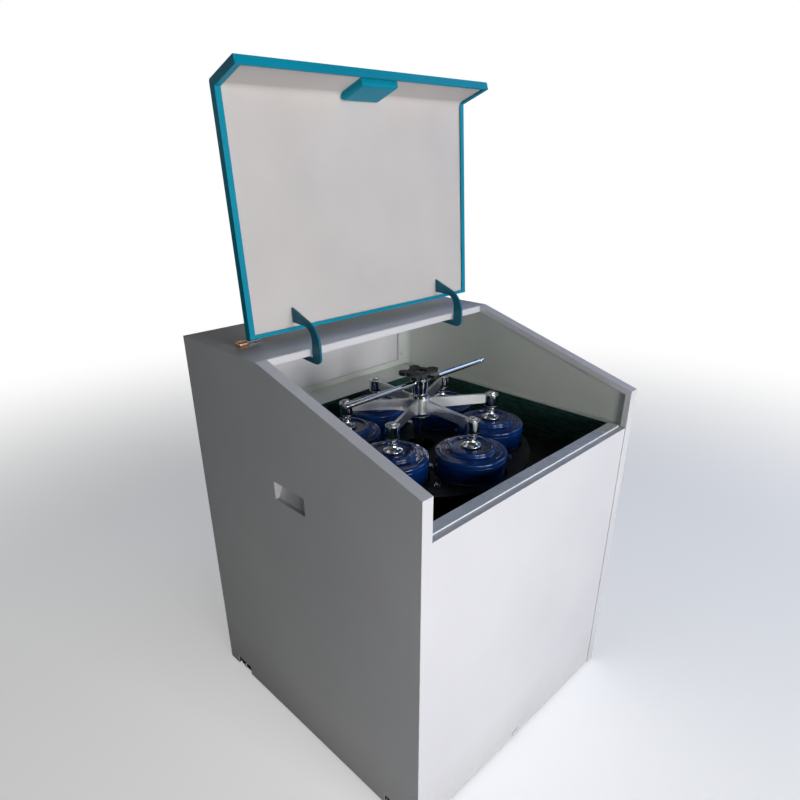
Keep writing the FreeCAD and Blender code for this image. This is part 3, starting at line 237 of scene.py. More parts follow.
def powderCoat(finish):
    # baked powder paint: faint orange peel, slow clouding in tone and gloss, dust low down
    material, tree, surface = startMaterial(finish["name"])
    place = addNode(tree, "ShaderNodeTexCoord")
    clouds = addNode(tree, "ShaderNodeTexNoise",
                     {"Scale": perMetre(finish["cloudSize"]), "Detail": 4.0, "Roughness": 0.55},
                     {"Vector": place.outputs["Object"]})
    cloudy = addNode(tree, "ShaderNodeMapRange", {"From Min": 0.35, "From Max": 0.65},
                     {"Value": clouds.outputs[0]})
    tone = addNode(tree, "ShaderNodeMix", {
        "data_type": "RGBA", 6: linearColour(finish["paint"]), 7: linearColour(finish["shade"]),
    }, {0: cloudy.outputs[0]})
    apart = addNode(tree, "ShaderNodeSeparateXYZ", None, {0: place.outputs["Object"]})
    low = addNode(tree, "ShaderNodeMapRange", {
        "From Min": finish.get("dustTop", 0.001) / 1000, "From Max": 0, "To Max": 0.5,
    }, {"Value": apart.outputs["Z"]})
    speckle = addNode(tree, "ShaderNodeTexNoise", {"Scale": perMetre(18), "Detail": 6.0, "Roughness": 0.7},
                      {"Vector": place.outputs["Object"]})
    dusty = addNode(tree, "ShaderNodeMath", {"operation": "MULTIPLY"}, {0: low.outputs[0], 1: speckle.outputs[0]})
    soiled = addNode(tree, "ShaderNodeMix", {"data_type": "RGBA", 7: linearColour("#a8a69c")},
                     {0: dusty.outputs[0], 6: tone.outputs[2]})
    tree.links.new(soiled.outputs[2], surface.inputs["Base Color"])
    wiping = addNode(tree, "ShaderNodeTexNoise",
                     {"Scale": perMetre(finish["wipeSize"]), "Detail": 3.0, "Distortion": 0.6},
                     {"Vector": place.outputs["Object"]})
    gloss = addNode(tree, "ShaderNodeMapRange", {
        "From Min": 0.3, "From Max": 0.7,
        "To Min": finish["roughness"] - finish["glossSpread"],
        "To Max": finish["roughness"] + finish["glossSpread"],
    }, {"Value": wiping.outputs[0]})
    tree.links.new(gloss.outputs[0], surface.inputs["Roughness"])
    peel = addNode(tree, "ShaderNodeTexNoise",
                   {"Scale": perMetre(finish["peelSize"]), "Detail": 1.0},
                   {"Vector": place.outputs["Object"]})
    bump = addNode(tree, "ShaderNodeBump", {"Strength": finish["peelDepth"], "Distance": 0.0004},
                   {"Height": peel.outputs[0]})
    tree.links.new(bump.outputs[0], surface.inputs["Normal"])
    surface.inputs["IOR"].default_value = 1.5
    surface.inputs["Specular IOR Level"].default_value = finish.get("specular", 0.5)
    return material


def glossEnamel(finish):
    # stoved enamel on machined castings: deep colour under a clear wet gloss, hairline wipe marks
    material, tree, surface = startMaterial(finish["name"])
    place = addNode(tree, "ShaderNodeTexCoord")
    clouds = addNode(tree, "ShaderNodeTexNoise",
                     {"Scale": perMetre(finish["cloudSize"]), "Detail": 5.0},
                     {"Vector": place.outputs["Object"]})
    cloudy = addNode(tree, "ShaderNodeMapRange", {"From Min": 0.38, "From Max": 0.66},
                     {"Value": clouds.outputs[0]})
    tone = addNode(tree, "ShaderNodeMix", {
        "data_type": "RGBA", 6: linearColour(finish["paint"]), 7: linearColour(finish["shade"]),
    }, {0: cloudy.outputs[0]})
    tree.links.new(tone.outputs[2], surface.inputs["Base Color"])
    stretch = addNode(tree, "ShaderNodeMapping", {"Scale": (1.0, 1.0, 7.0)},
                      {"Vector": place.outputs["Object"]})
    wipes = addNode(tree, "ShaderNodeTexNoise",
                    {"Scale": perMetre(finish["wipeSize"]), "Detail": 6.0, "Roughness": 0.65},
                    {"Vector": stretch.outputs[0]})
    gloss = addNode(tree, "ShaderNodeMapRange", {
        "From Min": 0.35, "From Max": 0.7,
        "To Min": finish["roughness"], "To Max": finish["roughness"] + finish["glossSpread"],
    }, {"Value": wipes.outputs[0]})
    tree.links.new(gloss.outputs[0], surface.inputs["Roughness"])
    bump = addNode(tree, "ShaderNodeBump", {"Strength": 0.025, "Distance": 0.0005},
                   {"Height": wipes.outputs[0]})
    tree.links.new(bump.outputs[0], surface.inputs["Normal"])
    surface.inputs["IOR"].default_value = 1.54
    surface.inputs["Coat Weight"].default_value = finish["coat"]
    surface.inputs["Coat Roughness"].default_value = 0.05
    return material


def polishedSteel(finish):
    # ground and buffed steel: mirror with soft hairlines and a few duller patches
    material, tree, surface = startMaterial(finish["name"])
    place = addNode(tree, "ShaderNodeTexCoord")
    stretch = addNode(tree, "ShaderNodeMapping", {"Scale": finish["grainStretch"]},
                      {"Vector": place.outputs["Object"]})
    hairs = addNode(tree, "ShaderNodeTexNoise",
                    {"Scale": perMetre(finish["grainSize"]), "Detail": 6.0, "Roughness": 0.7},
                    {"Vector": stretch.outputs[0]})
    patches = addNode(tree, "ShaderNodeTexNoise",
                      {"Scale": perMetre(finish["patchSize"]), "Detail": 2.0},
                      {"Vector": place.outputs["Object"]})
    tone = addNode(tree, "ShaderNodeMix", {
        "data_type": "RGBA", 6: linearColour(finish["metal"]), 7: linearColour(finish["shade"]),
    }, {0: patches.outputs[0]})
    tree.links.new(tone.outputs[2], surface.inputs["Base Color"])
    both = addNode(tree, "ShaderNodeMath", {"operation": "MULTIPLY"},
                   {0: hairs.outputs[0], 1: patches.outputs[0]})
    gloss = addNode(tree, "ShaderNodeMapRange", {
        "From Min": 0.15, "From Max": 0.4,
        "To Min": finish["roughness"], "To Max": finish["roughness"] + finish["glossSpread"],
    }, {"Value": both.outputs[0]})
    tree.links.new(gloss.outputs[0], surface.inputs["Roughness"])
    bump = addNode(tree, "ShaderNodeBump", {"Strength": finish["grainDepth"], "Distance": 0.0002},
                   {"Height": hairs.outputs[0]})
    tree.links.new(bump.outputs[0], surface.inputs["Normal"])
    surface.inputs["Metallic"].default_value = 1.0
    return material


def mouldedRubber(finish):
    # black moulded rubber: matt, fine grain, a little grey dust in scattered patches
    material, tree, surface = startMaterial(finish["name"])
    place = addNode(tree, "ShaderNodeTexCoord")
    grain = addNode(tree, "ShaderNodeTexNoise",
                    {"Scale": perMetre(finish["grainSize"]), "Detail": 3.0},
                    {"Vector": place.outputs["Object"]})
    dust = addNode(tree, "ShaderNodeTexNoise",
                   {"Scale": perMetre(finish["dustSize"]), "Detail": 5.0, "Roughness": 0.6},
                   {"Vector": place.outputs["Object"]})
    dusty = addNode(tree, "ShaderNodeMapRange", {"From Min": 0.5, "From Max": 0.8, "To Max": 0.5},
                    {"Value": dust.outputs[0]})
    tone = addNode(tree, "ShaderNodeMix", {
        "data_type": "RGBA", 6: linearColour(finish["base"]), 7: linearColour(finish["dust"]),
    }, {0: dusty.outputs[0]})
    tree.links.new(tone.outputs[2], surface.inputs["Base Color"])
    gloss = addNode(tree, "ShaderNodeMapRange", {
        "To Min": finish["roughness"] - 0.1, "To Max": finish["roughness"] + 0.1,
    }, {"Value": grain.outputs[0]})
    tree.links.new(gloss.outputs[0], surface.inputs["Roughness"])
    bump = addNode(tree, "ShaderNodeBump", {"Strength": 0.25, "Distance": 0.0003},
                   {"Height": grain.outputs[0]})
    tree.links.new(bump.outputs[0], surface.inputs["Normal"])
    return material


def liningSheet(finish):
    # pale vinyl-faced damping sheet: matt, shallow pebble grain, uneven hand-glued face
    material, tree, surface = startMaterial(finish["name"])
    place = addNode(tree, "ShaderNodeTexCoord")
    waves = addNode(tree, "ShaderNodeTexNoise",
                    {"Scale": perMetre(finish["waveSize"]), "Detail": 3.0},
                    {"Vector": place.outputs["Object"]})
    wavy = addNode(tree, "ShaderNodeMapRange", {"From Min": 0.35, "From Max": 0.65},
                   {"Value": waves.outputs[0]})
    tone = addNode(tree, "ShaderNodeMix", {
        "data_type": "RGBA", 6: linearColour(finish["face"]), 7: linearColour(finish["shade"]),
    }, {0: wavy.outputs[0]})
    tree.links.new(tone.outputs[2], surface.inputs["Base Color"])
    pebbles = addNode(tree, "ShaderNodeTexVoronoi",
                      {"Scale": perMetre(finish["pebbleSize"]), "feature": "SMOOTH_F1"},
                      {"Vector": place.outputs["Object"]})
    raised = addNode(tree, "ShaderNodeMath", {"operation": "ADD"},
                     {0: pebbles.outputs["Distance"], 1: waves.outputs[0]})
    bump = addNode(tree, "ShaderNodeBump", {"Strength": 0.22, "Distance": 0.0006},
                   {"Height": raised.outputs[0]})
    tree.links.new(bump.outputs[0], surface.inputs["Normal"])
    surface.inputs["Roughness"].default_value = finish["roughness"]
    surface.inputs["Specular IOR Level"].default_value = 0.35
    return material


def castIron(finish):
    # machined grey iron with a film of oil: dark, mottled, half-dull
    material, tree, surface = startMaterial(finish["name"])
    place = addNode(tree, "ShaderNodeTexCoord")
    mottle = addNode(tree, "ShaderNodeTexNoise",
                     {"Scale": perMetre(finish["mottleSize"]), "Detail": 8.0, "Roughness": 0.7},
                     {"Vector": place.outputs["Object"]})
    tone = addNode(tree, "ShaderNodeMix", {
        "data_type": "RGBA", 6: linearColour(finish["metal"]), 7: linearColour(finish["shade"]),
    }, {0: mottle.outputs[0]})
    tree.links.new(tone.outputs[2], surface.inputs["Base Color"])
    gloss = addNode(tree, "ShaderNodeMapRange", {"To Min": 0.3, "To Max": 0.65},
                    {"Value": mottle.outputs[0]})
    tree.links.new(gloss.outputs[0], surface.inputs["Roughness"])
    bump = addNode(tree, "ShaderNodeBump", {"Strength": 0.2, "Distance": 0.0004},
                   {"Height": mottle.outputs[0]})
    tree.links.new(bump.outputs[0], surface.inputs["Normal"])
    surface.inputs["Metallic"].default_value = 0.9
    return material


finishes = {
    "cabinet_paint": powderCoat({
        "name": "paleGreyPowderCoat", "paint": "#e3e2e6", "shade": "#dcdbe0", "cloudSize": 420,
        "wipeSize": 160, "roughness": 0.42, "glossSpread": 0.07, "peelSize": 5, "peelDepth": 0.10,
        "dustTop": 140,
    }),
    "liner_paint": powderCoat({
        "name": "coolGreyPowderCoat", "paint": "#dfe3de", "shade": "#d5dad4", "cloudSize": 300,
        "wipeSize": 120, "roughness": 0.38, "glossSpread": 0.08, "peelSize": 5, "peelDepth": 0.10,
    }),
    "lid_paint": powderCoat({
        "name": "tealPowderCoat", "paint": "#0a92ae", "shade": "#0886a2", "cloudSize": 250,
        "wipeSize": 90, "roughness": 0.40, "glossSpread": 0.06, "peelSize": 5, "peelDepth": 0.12,
        "specular": 0.12,
    }),
    "frame_paint": powderCoat({
        "name": "darkGreyFramePaint", "paint": "#34373b", "shade": "#2b2e32", "cloudSize": 120,
        "wipeSize": 60, "roughness": 0.5, "glossSpread": 0.1, "peelSize": 6, "peelDepth": 0.15,
    }),
    "table_paint": powderCoat({
        "name": "blackTablePaint", "paint": "#06080b", "shade": "#0b0d12", "cloudSize": 90,
        "wipeSize": 50, "roughness": 0.52, "glossSpread": 0.08, "peelSize": 5, "peelDepth": 0.10,
        "specular": 0.25,
    }),
    "motor_paint": powderCoat({
        "name": "greyBlueMotorPaint", "paint": "#46515b", "shade": "#3c464f", "cloudSize": 80,
        "wipeSize": 40, "roughness": 0.45, "glossSpread": 0.1, "peelSize": 7, "peelDepth": 0.3,
    }),
    # well: dark green-black enamel, raised to a lighter green-grey that paints in the olive side wall's reflection
    "well_paint": glossEnamel({
        "name": "wellEnamelWithPaintedReflection", "paint": "#2c4d46", "shade": "#355a52", "cloudSize": 140,
        "wipeSize": 35, "roughness": 0.22, "glossSpread": 0.14, "coat": 0.2,
    }),
    "bowl_paint": glossEnamel({
        "name": "navyBowlEnamel", "paint": "#083372", "shade": "#06285e", "cloudSize": 45,
        "wipeSize": 20, "roughness": 0.10, "glossSpread": 0.08, "coat": 0.0,
    }),
    "bowl_lid_paint": glossEnamel({
        "name": "royalBlueLidEnamel", "paint": "#083576", "shade": "#052654", "cloudSize": 40,
        "wipeSize": 18, "roughness": 0.08, "glossSpread": 0.08, "coat": 0.0,
    }),
    "knob_plastic": glossEnamel({
        "name": "blackPhenolicKnob", "paint": "#070908", "shade": "#0d100e", "cloudSize": 20,
        "wipeSize": 8, "roughness": 0.10, "glossSpread": 0.08, "coat": 0.0,
    }),
    "rubber": mouldedRubber({
        "name": "blackMouldedRubber", "base": "#141414", "dust": "#5a5853", "grainSize": 3,
        "dustSize": 30, "roughness": 0.72,
    }),
    "lid_lining": liningSheet({
        "name": "paleVinylLining", "face": "#d3cdcb", "shade": "#cac4c2", "waveSize": 260,
        "pebbleSize": 4, "roughness": 0.7,
    }),
    # hinge arms: the lid's teal powder coat, darkened to paint in the shade on the arms
    "arm_paint": powderCoat({
        "name": "tealPowderCoatWithPaintedShade", "paint": "#086a80", "shade": "#066074", "cloudSize": 60,
        "wipeSize": 30, "roughness": 0.36, "glossSpread": 0.07, "peelSize": 4, "peelDepth": 0.12,
        "specular": 0.3,
    }),
    "bright_steel": polishedSteel({
        "name": "brightTurnedSteel", "metal": "#d2d3d5", "shade": "#b9bbbe", "grainSize": 3,
        "grainStretch": (1, 1, 8), "patchSize": 15, "roughness": 0.14, "glossSpread": 0.14,
        "grainDepth": 0.08,
    }),
    "polished_steel": polishedSteel({
        "name": "buffedClampSteel", "metal": "#d4d6d6", "shade": "#c2c4c5", "grainSize": 4,
        "grainStretch": (1, 1, 5), "patchSize": 35, "roughness": 0.06, "glossSpread": 0.06,
        "grainDepth": 0.02,
    }),
    "satin_star": polishedSteel({
        "name": "satinBuffedStarSteel", "metal": "#f0f1f2", "shade": "#e4e6e8", "grainSize": 60,
        "grainStretch": (1, 1, 2), "patchSize": 60, "roughness": 0.28, "glossSpread": 0.05,
        "grainDepth": 0.0,
    }),
    # front rail: a pale finish, made brighter and bluer than it is to paint in the bluish light from above on its top
    "rail_paint": powderCoat({
        "name": "railPaintWithPaintedSkyLight", "paint": "#eef3fa", "shade": "#e2e8f0", "cloudSize": 60,
        "wipeSize": 40, "roughness": 0.30, "glossSpread": 0.08, "peelSize": 4, "peelDepth": 0.08,
    }),
    "grinding_steel": polishedSteel({
        "name": "groundHardSteel", "metal": "#8e8f92", "shade": "#77797d", "grainSize": 2,
        "grainStretch": (1, 1, 6), "patchSize": 25, "roughness": 0.3, "glossSpread": 0.25,
        "grainDepth": 0.2,
    }),
    "copper_clip": polishedSteel({
        "name": "paleCopperClip", "metal": "#e8bb9c", "shade": "#c98e66", "grainSize": 3,
        "grainStretch": (1, 1, 3), "patchSize": 9, "roughness": 0.3, "glossSpread": 0.2,
        "grainDepth": 0.12,
    }),
    "weight_iron": castIron({
        "name": "oiledGreyIron", "metal": "#56575a", "shade": "#37383b", "mottleSize": 6,
    }),
}
print("finishes:", len(finishes))


def keepPiece(name, shape, node, smoothAngle=50, finish=None, look=None, replaced=()):
    # turns a bmesh into a finished piece that rides on its node's body
    for face in shape.faces:
        face.smooth = True
    for edge in shape.edges:
        edge.smooth = edge.is_manifold and edge.calc_face_angle(0) < math.radians(smoothAngle)
    mesh = bpy.data.meshes.new(name)
    shape.to_mesh(mesh)
    shape.free()
    piece = bpy.data.objects.new(name, mesh)
    bpy.context.scene.collection.objects.link(piece)
    slot = finish or slotOf[node]
    mesh.materials.append(finishes[look or slot])
    even = piece.modifiers.new("evenNormals", "WEIGHTED_NORMAL")
    even.keep_sharp = True
    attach(piece, bodyOf[node])
    if replaced:
        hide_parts(*replaced)
    return piece


def edgedCopy(node, radius, segments=2, sharpAngle=30, look=None):
    # the CAD piece again with its sharp edges broken, as a folded or machined piece has them
    shape = bmesh.new()
    shape.from_mesh(frame["nodes"][node].data)
    bmesh.ops.remove_doubles(shape, verts=shape.verts, dist=0.00001)
    bmesh.ops.dissolve_limit(shape, angle_limit=math.radians(0.5), verts=shape.verts, edges=shape.edges)
    bmesh.ops.connect_verts_concave(shape, faces=shape.faces)
    sharp = []
    for edge in shape.edges:
        if edge.is_manifold and edge.calc_face_angle(0) > math.radians(sharpAngle):
            sharp.append(edge)
    bmesh.ops.bevel(shape, geom=sharp, offset=radius / 1000, offset_type="OFFSET", affect="EDGES",
                    segments=segments, profile=0.5, material=-1, clamp_overlap=True)
    return keepPiece(node + "_edged", shape, node, look=look, replaced=(node,))


# folded and machined pieces keep their CAD shape, with every sharp edge broken

edgeRadii = {
    "side_panel_left": 0.7, "side_panel_right": 0.7, "front_panel": 0.7, "rear_panel": 0.5,
    "top_panel": 0.7, "well_liner_left": 0.6, "well_liner_right": 0.6, "front_rail": 0.7,
    "well_tub": 0.6, "rear_ledge": 0.6, "hand_cup_left": 0.6, "hand_cup_right": 0.6,
    "hinge_bracket_left": 0.6, "hinge_bracket_right": 0.6, "hinge_pins": 0.5, "floor_plate": 0.6,
    "base_rail_left": 1.2, "base_rail_right": 1.2, "spring_posts": 1.2, "machine_feet": 2.0,
    "foot_bolts": 0.6, "front_catch": 0.5, "cable_grommet": 0.5,
    "lid_shell": 0.8, "lid_lining": 0.7, "lid_grip": 1.0, "hinge_arm_left": 1.0,
    "hinge_arm_right": 1.0, "table_plate": 1.5, "bowl_nest": 1.0,
    "motor_housing": 1.0, "terminal_box": 1.5, "motor_bolts": 0.8, "rotor_shaft": 0.5,
    "eccentric_weight": 1.2, "shaft_nut": 0.8, "clamp_star": 1.6,
    "clamp_nut": 1.0, "lobe_knob": 2.4, "grinding_rings": 1.5, "grinding_pucks": 2.0,
}
ownLooks = {"clamp_star": "satin_star", "front_rail": "rail_paint"}
roundedMore = ("lobe_knob", "clamp_star")
for node, radius in edgeRadii.items():
    edgedCopy(node, radius, segments=4 if node in roundedMore else 2, look=ownLooks.get(node))
print("edged copies:", len(edgeRadii))

def boxOf(node):
    low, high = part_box(node)
    return Vector(low) * 1000, Vector(high) * 1000  # in mm


def middleOf(node):
    low, high = boxOf(node)
    return (low + high) / 2


# lathe-turned, hexagonal and folded blanks that the pieces below are made from, all in mm


def turnedShape(profile, place, steps=96, lean=None):
    # profile corners are (radius, height, rounding), along the turning axis from end to end
    shape = bmesh.new()
    corners = [shape.verts.new((radius / 1000, 0, height / 1000)) for radius, height, rounding in profile]
    for first, second in zip(corners, corners[1:]):
        shape.edges.new((first, second))
    for corner, (radius, height, rounding) in zip(corners, profile):
        if rounding:
            bmesh.ops.bevel(shape, geom=[corner], offset=rounding / 1000, offset_type="OFFSET",
                            affect="VERTICES", segments=4, profile=0.5, material=-1, clamp_overlap=True)
    bmesh.ops.spin(shape, geom=shape.verts[:] + shape.edges[:], cent=(0, 0, 0), axis=(0, 0, 1),
                   angle=2 * math.pi, steps=steps, use_merge=True, use_duplicate=False)
    bmesh.ops.remove_doubles(shape, verts=shape.verts, dist=0.00002)
    bmesh.ops.recalc_face_normals(shape, faces=shape.faces)
    if lean is not None:
        bmesh.ops.transform(shape, matrix=lean.to_4x4(), verts=shape.verts)
    bmesh.ops.translate(shape, vec=Vector(place) / 1000, verts=shape.verts)
    return shape


def hexShape(flats, height, place, chamfer=0.8, bore=0):
    # a nut or bolt head: flats across, chamfered at its two faces
    shape = bmesh.new()
    bmesh.ops.create_circle(shape, cap_ends=True, segments=6, radius=flats / 2000 / math.cos(math.radians(30)))
    raised = bmesh.ops.extrude_face_region(shape, geom=shape.faces[:])
    tops = [item for item in raised["geom"] if isinstance(item, bmesh.types.BMVert)]
    bmesh.ops.translate(shape, vec=(0, 0, height / 1000), verts=tops)
    bmesh.ops.recalc_face_normals(shape, faces=shape.faces)
    bmesh.ops.bevel(shape, geom=shape.edges[:], offset=chamfer / 1000, offset_type="OFFSET", affect="EDGES",
                    segments=2, profile=0.5, material=-1, clamp_overlap=True)
    bmesh.ops.translate(shape, vec=Vector(place) / 1000, verts=shape.verts)
    return shape


def blockShape(low, high, rounding):
    # a rounded block between two corners
    shape = bmesh.new()
    bmesh.ops.create_cube(shape, size=1.0)
    spread = Vector(high) - Vector(low)
    bmesh.ops.scale(shape, vec=spread / 1000, verts=shape.verts)
    bmesh.ops.bevel(shape, geom=shape.edges[:], offset=rounding / 1000, offset_type="OFFSET", affect="EDGES",
                    segments=3, profile=0.5, material=-1, clamp_overlap=True)
    bmesh.ops.translate(shape, vec=(Vector(low) + Vector(high)) / 2000, verts=shape.verts)
    return shape


def gathered(shapes):
    # several blanks in one mesh
    whole = bmesh.new()
    for shape in shapes:
        carrier = bpy.data.meshes.new("carrier")
        shape.to_mesh(carrier)
        shape.free()
        whole.from_mesh(carrier)
        bpy.data.meshes.remove(carrier)
    return whole


turnToX = Matrix.Rotation(math.radians(90), 3, "Y")   # lathe axis from +Z to +X
turnToY = Matrix.Rotation(math.radians(-90), 3, "X")  # lathe axis from +Z to +Y

# grinding bowls: turned pots with a drip groove, a waist under the rim and a wet enamel edge

bowlTurning = {
    "profile": [
        (0, 0, 0), (70, 0, 1.5), (73.8, 4.5, 1.5), (73.8, 40, 0.6), (72.6, 41.6, 0.5), (72.6, 44.4, 0.5),
        (73.8, 46, 0.6), (73.8, 67.5, 0.8), (75, 70, 0.8), (75, 76.9, 1.2), (64, 76.9, 0.6), (64, 12, 2.5),
        (0, 12, 0),
    ],
    "steps": 112,
}
bowlLidTurning = {
    "profile": [
        (0, -4, 0), (63.5, -4, 0.8), (63.5, 0.05, 0), (75, 0.05, 0.9), (75, 9.2, 3.4), (64, 10.9, 0.8),
        (62.6, 10.3, 0.5), (60.4, 10.6, 0.5), (59, 11.3, 0.8), (50, 12, 1.6), (50, 21, 2.2), (42, 21, 1.8),
        (42, 17, 1.2), (24, 16.6, 0.5), (22.6, 17, 0.5), (0, 17, 0),
    ],
    "steps": 112,
}

for number in range(1, 7):
    potNode = "bowl_%d" % number
    lidNode = "bowl_lid_%d" % number
    low, high = boxOf(potNode)
    seat = middleOf(potNode)
    pot = turnedShape(bowlTurning["profile"], (seat.x, seat.y, low.z), bowlTurning["steps"])
    keepPiece(potNode + "_turned", pot, potNode, replaced=(potNode,))
    cover = turnedShape(bowlLidTurning["profile"], (seat.x, seat.y, high.z), bowlLidTurning["steps"])
    keepPiece(lidNode + "_turned", cover, lidNode, replaced=(lidNode,))
print("bowls turned")

# press feet: swivel foot with a domed cone, stem, lock nut and top nut, one over each bowl

pressTurning = {
    "foot": [
        (0, 0, 0), (17, 0, 1), (20, 2.4, 1), (20, 5, 1), (12, 9, 2.5), (9, 15, 2), (9, 19, 0.7), (6, 19, 0),
        (6, 59.4, 0), (6, 64, 1), (0, 64, 0),
    ],
    "flats": 15,
    "lockNut": (21, 5),
    "topNut": (59.6, 4.7),
    "seatDrop": 4,
}
clampSeat = middleOf("clamp_screw")
bowlSeats = [middleOf("bowl_%d" % number) for number in range(1, 7)]
pressLevel = boxOf("bowl_lid_1")[1].z - pressTurning["seatDrop"]
feet = []
for seat in bowlSeats:
    place = Vector((seat.x, seat.y, pressLevel))
    feet.append(turnedShape(pressTurning["foot"], place, 64))
    for level, height in (pressTurning["lockNut"], pressTurning["topNut"]):
        feet.append(hexShape(pressTurning["flats"], height, place + Vector((0, 0, level))))
keepPiece("press_feet_turned", gathered(feet), "press_feet", replaced=("press_feet",))

# star clamp: polished bosses at the arms' ends and a polished hub over the satin arms

starTurning = {
    "boss": [(6.3, 0.02, 0.3), (15.05, 0.02, 1.4), (15.05, 27.55, 1.6), (9.6, 27.55, 0.8), (8.8, 26.4, 0.4),
             (6.3, 26.4, 0.2), (6.3, 0.02, 0)],
    "bossLift": 32,
    "hub": [(12.3, -0.02, 0.4), (24.05, -0.02, 1.6), (24.05, 9, 0.8), (22.6, 10.4, 0.8), (12.3, 10.4, 0)],
}
bosses = []
for seat in bowlSeats:
    place = Vector((seat.x, seat.y, pressLevel + starTurning["bossLift"]))
    bosses.append(turnedShape(starTurning["boss"], place, 48))
starLow = boxOf("clamp_star")[0].z
bosses.append(turnedShape(starTurning["hub"], (clampSeat.x, clampSeat.y, starLow), 64))
keepPiece("star_bosses", gathered(bosses), "clamp_star")
print("clamp turned")

# nest fixings: turned spacers under the nest plate, washers and hexagon heads over it

nestFixing = {
    "outer": 205, "inner": 120, "spacer": 8, "nestLevel": 35, "plate": 6, "flats": 13, "head": 5.9,
    "washer": [(4, 41, 0), (7.9, 41, 0.3), (7.9, 42.2, 0.3), (4, 42.2, 0)],
}
tableTop = boxOf("table_plate")[1].z
firstSeat = bowlSeats[0] - clampSeat
firstBearing = math.atan2(firstSeat.y, firstSeat.x) + math.radians(30)
fixings = []
for reach in (nestFixing["outer"], nestFixing["inner"]):
    for step in range(6):
        bearing = firstBearing + math.radians(60 * step)
        place = Vector((clampSeat.x + reach * math.cos(bearing), clampSeat.y + reach * math.sin(bearing), tableTop))
        radius = nestFixing["spacer"]
        spacer = [(0, 0, 0), (radius, 0, 0.8), (radius, 35, 0.8), (4, 35, 0), (4, 41.5, 0), (0, 41.5, 0)]
        fixings.append(turnedShape(spacer, place, 32))
        fixings.append(turnedShape(nestFixing["washer"], place, 32))
        fixings.append(hexShape(nestFixing["flats"], nestFixing["head"] - 1.2, place + Vector((0, 0, 42.2))))
keepPiece("nest_bolts_turned", gathered(fixings), "nest_bolts", replaced=("nest_bolts",))

# clamp screw: flanged foot, polished shank and a thread inside the nut

screwTurning = {
    "shank": [
        (0, 0, 0), (35, 0, 1), (35, 8, 1.6), (18, 14, 3), (12, 26, 3), (12, 132, 0.6), (10.8, 133.5, 0.3),
        (10.8, 180, 0.3), (9.6, 183, 0.5), (0, 183, 0),
    ],
    "threadFrom": 134, "threadTurns": 11, "pitch": 4, "core": 10.8, "crest": 11.95,
    "flangeBolts": 6, "flangeBoltReach": 26,
}


def threadShape(place, turning, stepsPerTurn=28):
    shape = bmesh.new()
    core, crest, pitch = turning["core"] - 0.2, turning["crest"], turning["pitch"]
    start = turning["threadFrom"]
    ridge = [(core, start), (crest, start + 1.2), (crest, start + 2.0), (core, start + 3.2)]
    corners = [shape.verts.new((radius / 1000, 0, level / 1000)) for radius, level in ridge]
    for first, second in zip(corners, corners[1:]):
        shape.edges.new((first, second))
    steps = turning["threadTurns"] * stepsPerTurn
    bmesh.ops.spin(shape, geom=shape.verts[:] + shape.edges[:], cent=(0, 0, 0), axis=(0, 0, 1),
                   dvec=(0, 0, pitch / 1000 / stepsPerTurn), angle=2 * math.pi * turning["threadTurns"],
                   steps=steps, use_merge=False, use_duplicate=False)
    bmesh.ops.recalc_face_normals(shape, faces=shape.faces)
    bmesh.ops.translate(shape, vec=Vector(place) / 1000, verts=shape.verts)
    return shape


screwPlace = Vector((clampSeat.x, clampSeat.y, tableTop))
screwParts = [turnedShape(screwTurning["shank"], screwPlace, 72), threadShape(screwPlace, screwTurning)]
keepPiece("clamp_screw_turned", gathered(screwParts), "clamp_screw", replaced=("clamp_screw",))

# cross bar: bright drawn bar with turned, rounded ends and a groove behind each end

barTurning = {"radius": 6, "rounding": 2.4, "grooveFrom": 12, "grooveWidth": 2.5, "grooveDepth": 0.7}
low, high = boxOf("tee_bar")
barMiddle = middleOf("tee_bar")
barLength = high.x - low.x
radius = barTurning["radius"] - 0.02
sunk = radius - barTurning["grooveDepth"]
near = barTurning["grooveFrom"]
wide = barTurning["grooveWidth"]
barProfile = [(0, 0, 0), (radius, 0, barTurning["rounding"]), (radius, near, 0.3), (sunk, near + 0.7, 0.3),
              (sunk, near + wide, 0.3), (radius, near + wide + 0.7, 0.3)]
barProfile += [(across, barLength - along, rounding) for across, along, rounding in reversed(barProfile)]
bar = turnedShape(barProfile, (low.x, barMiddle.y, barMiddle.z), 48, lean=turnToX)
keepPiece("tee_bar_turned", bar, "tee_bar", replaced=("tee_bar",))

# knob: a cap in the moulded knob's recess, in the knob's own finish

knobCap = {"cap": [(0, 0, 0), (10.5, 0, 0.4), (10.5, 1.2, 0.5), (6.2, 1.9, 0.3), (6.2, 0.9, 0), (0, 0.9, 0)]}
knobMiddle = middleOf("lobe_knob")
knobTop = boxOf("lobe_knob")[1].z
cap = turnedShape(knobCap["cap"], (clampSeat.x, clampSeat.y, knobTop - 2), 40)
keepPiece("knob_cap", cap, "lobe_knob")

# rubber isolators: moulded barrels bonded between steel end plates

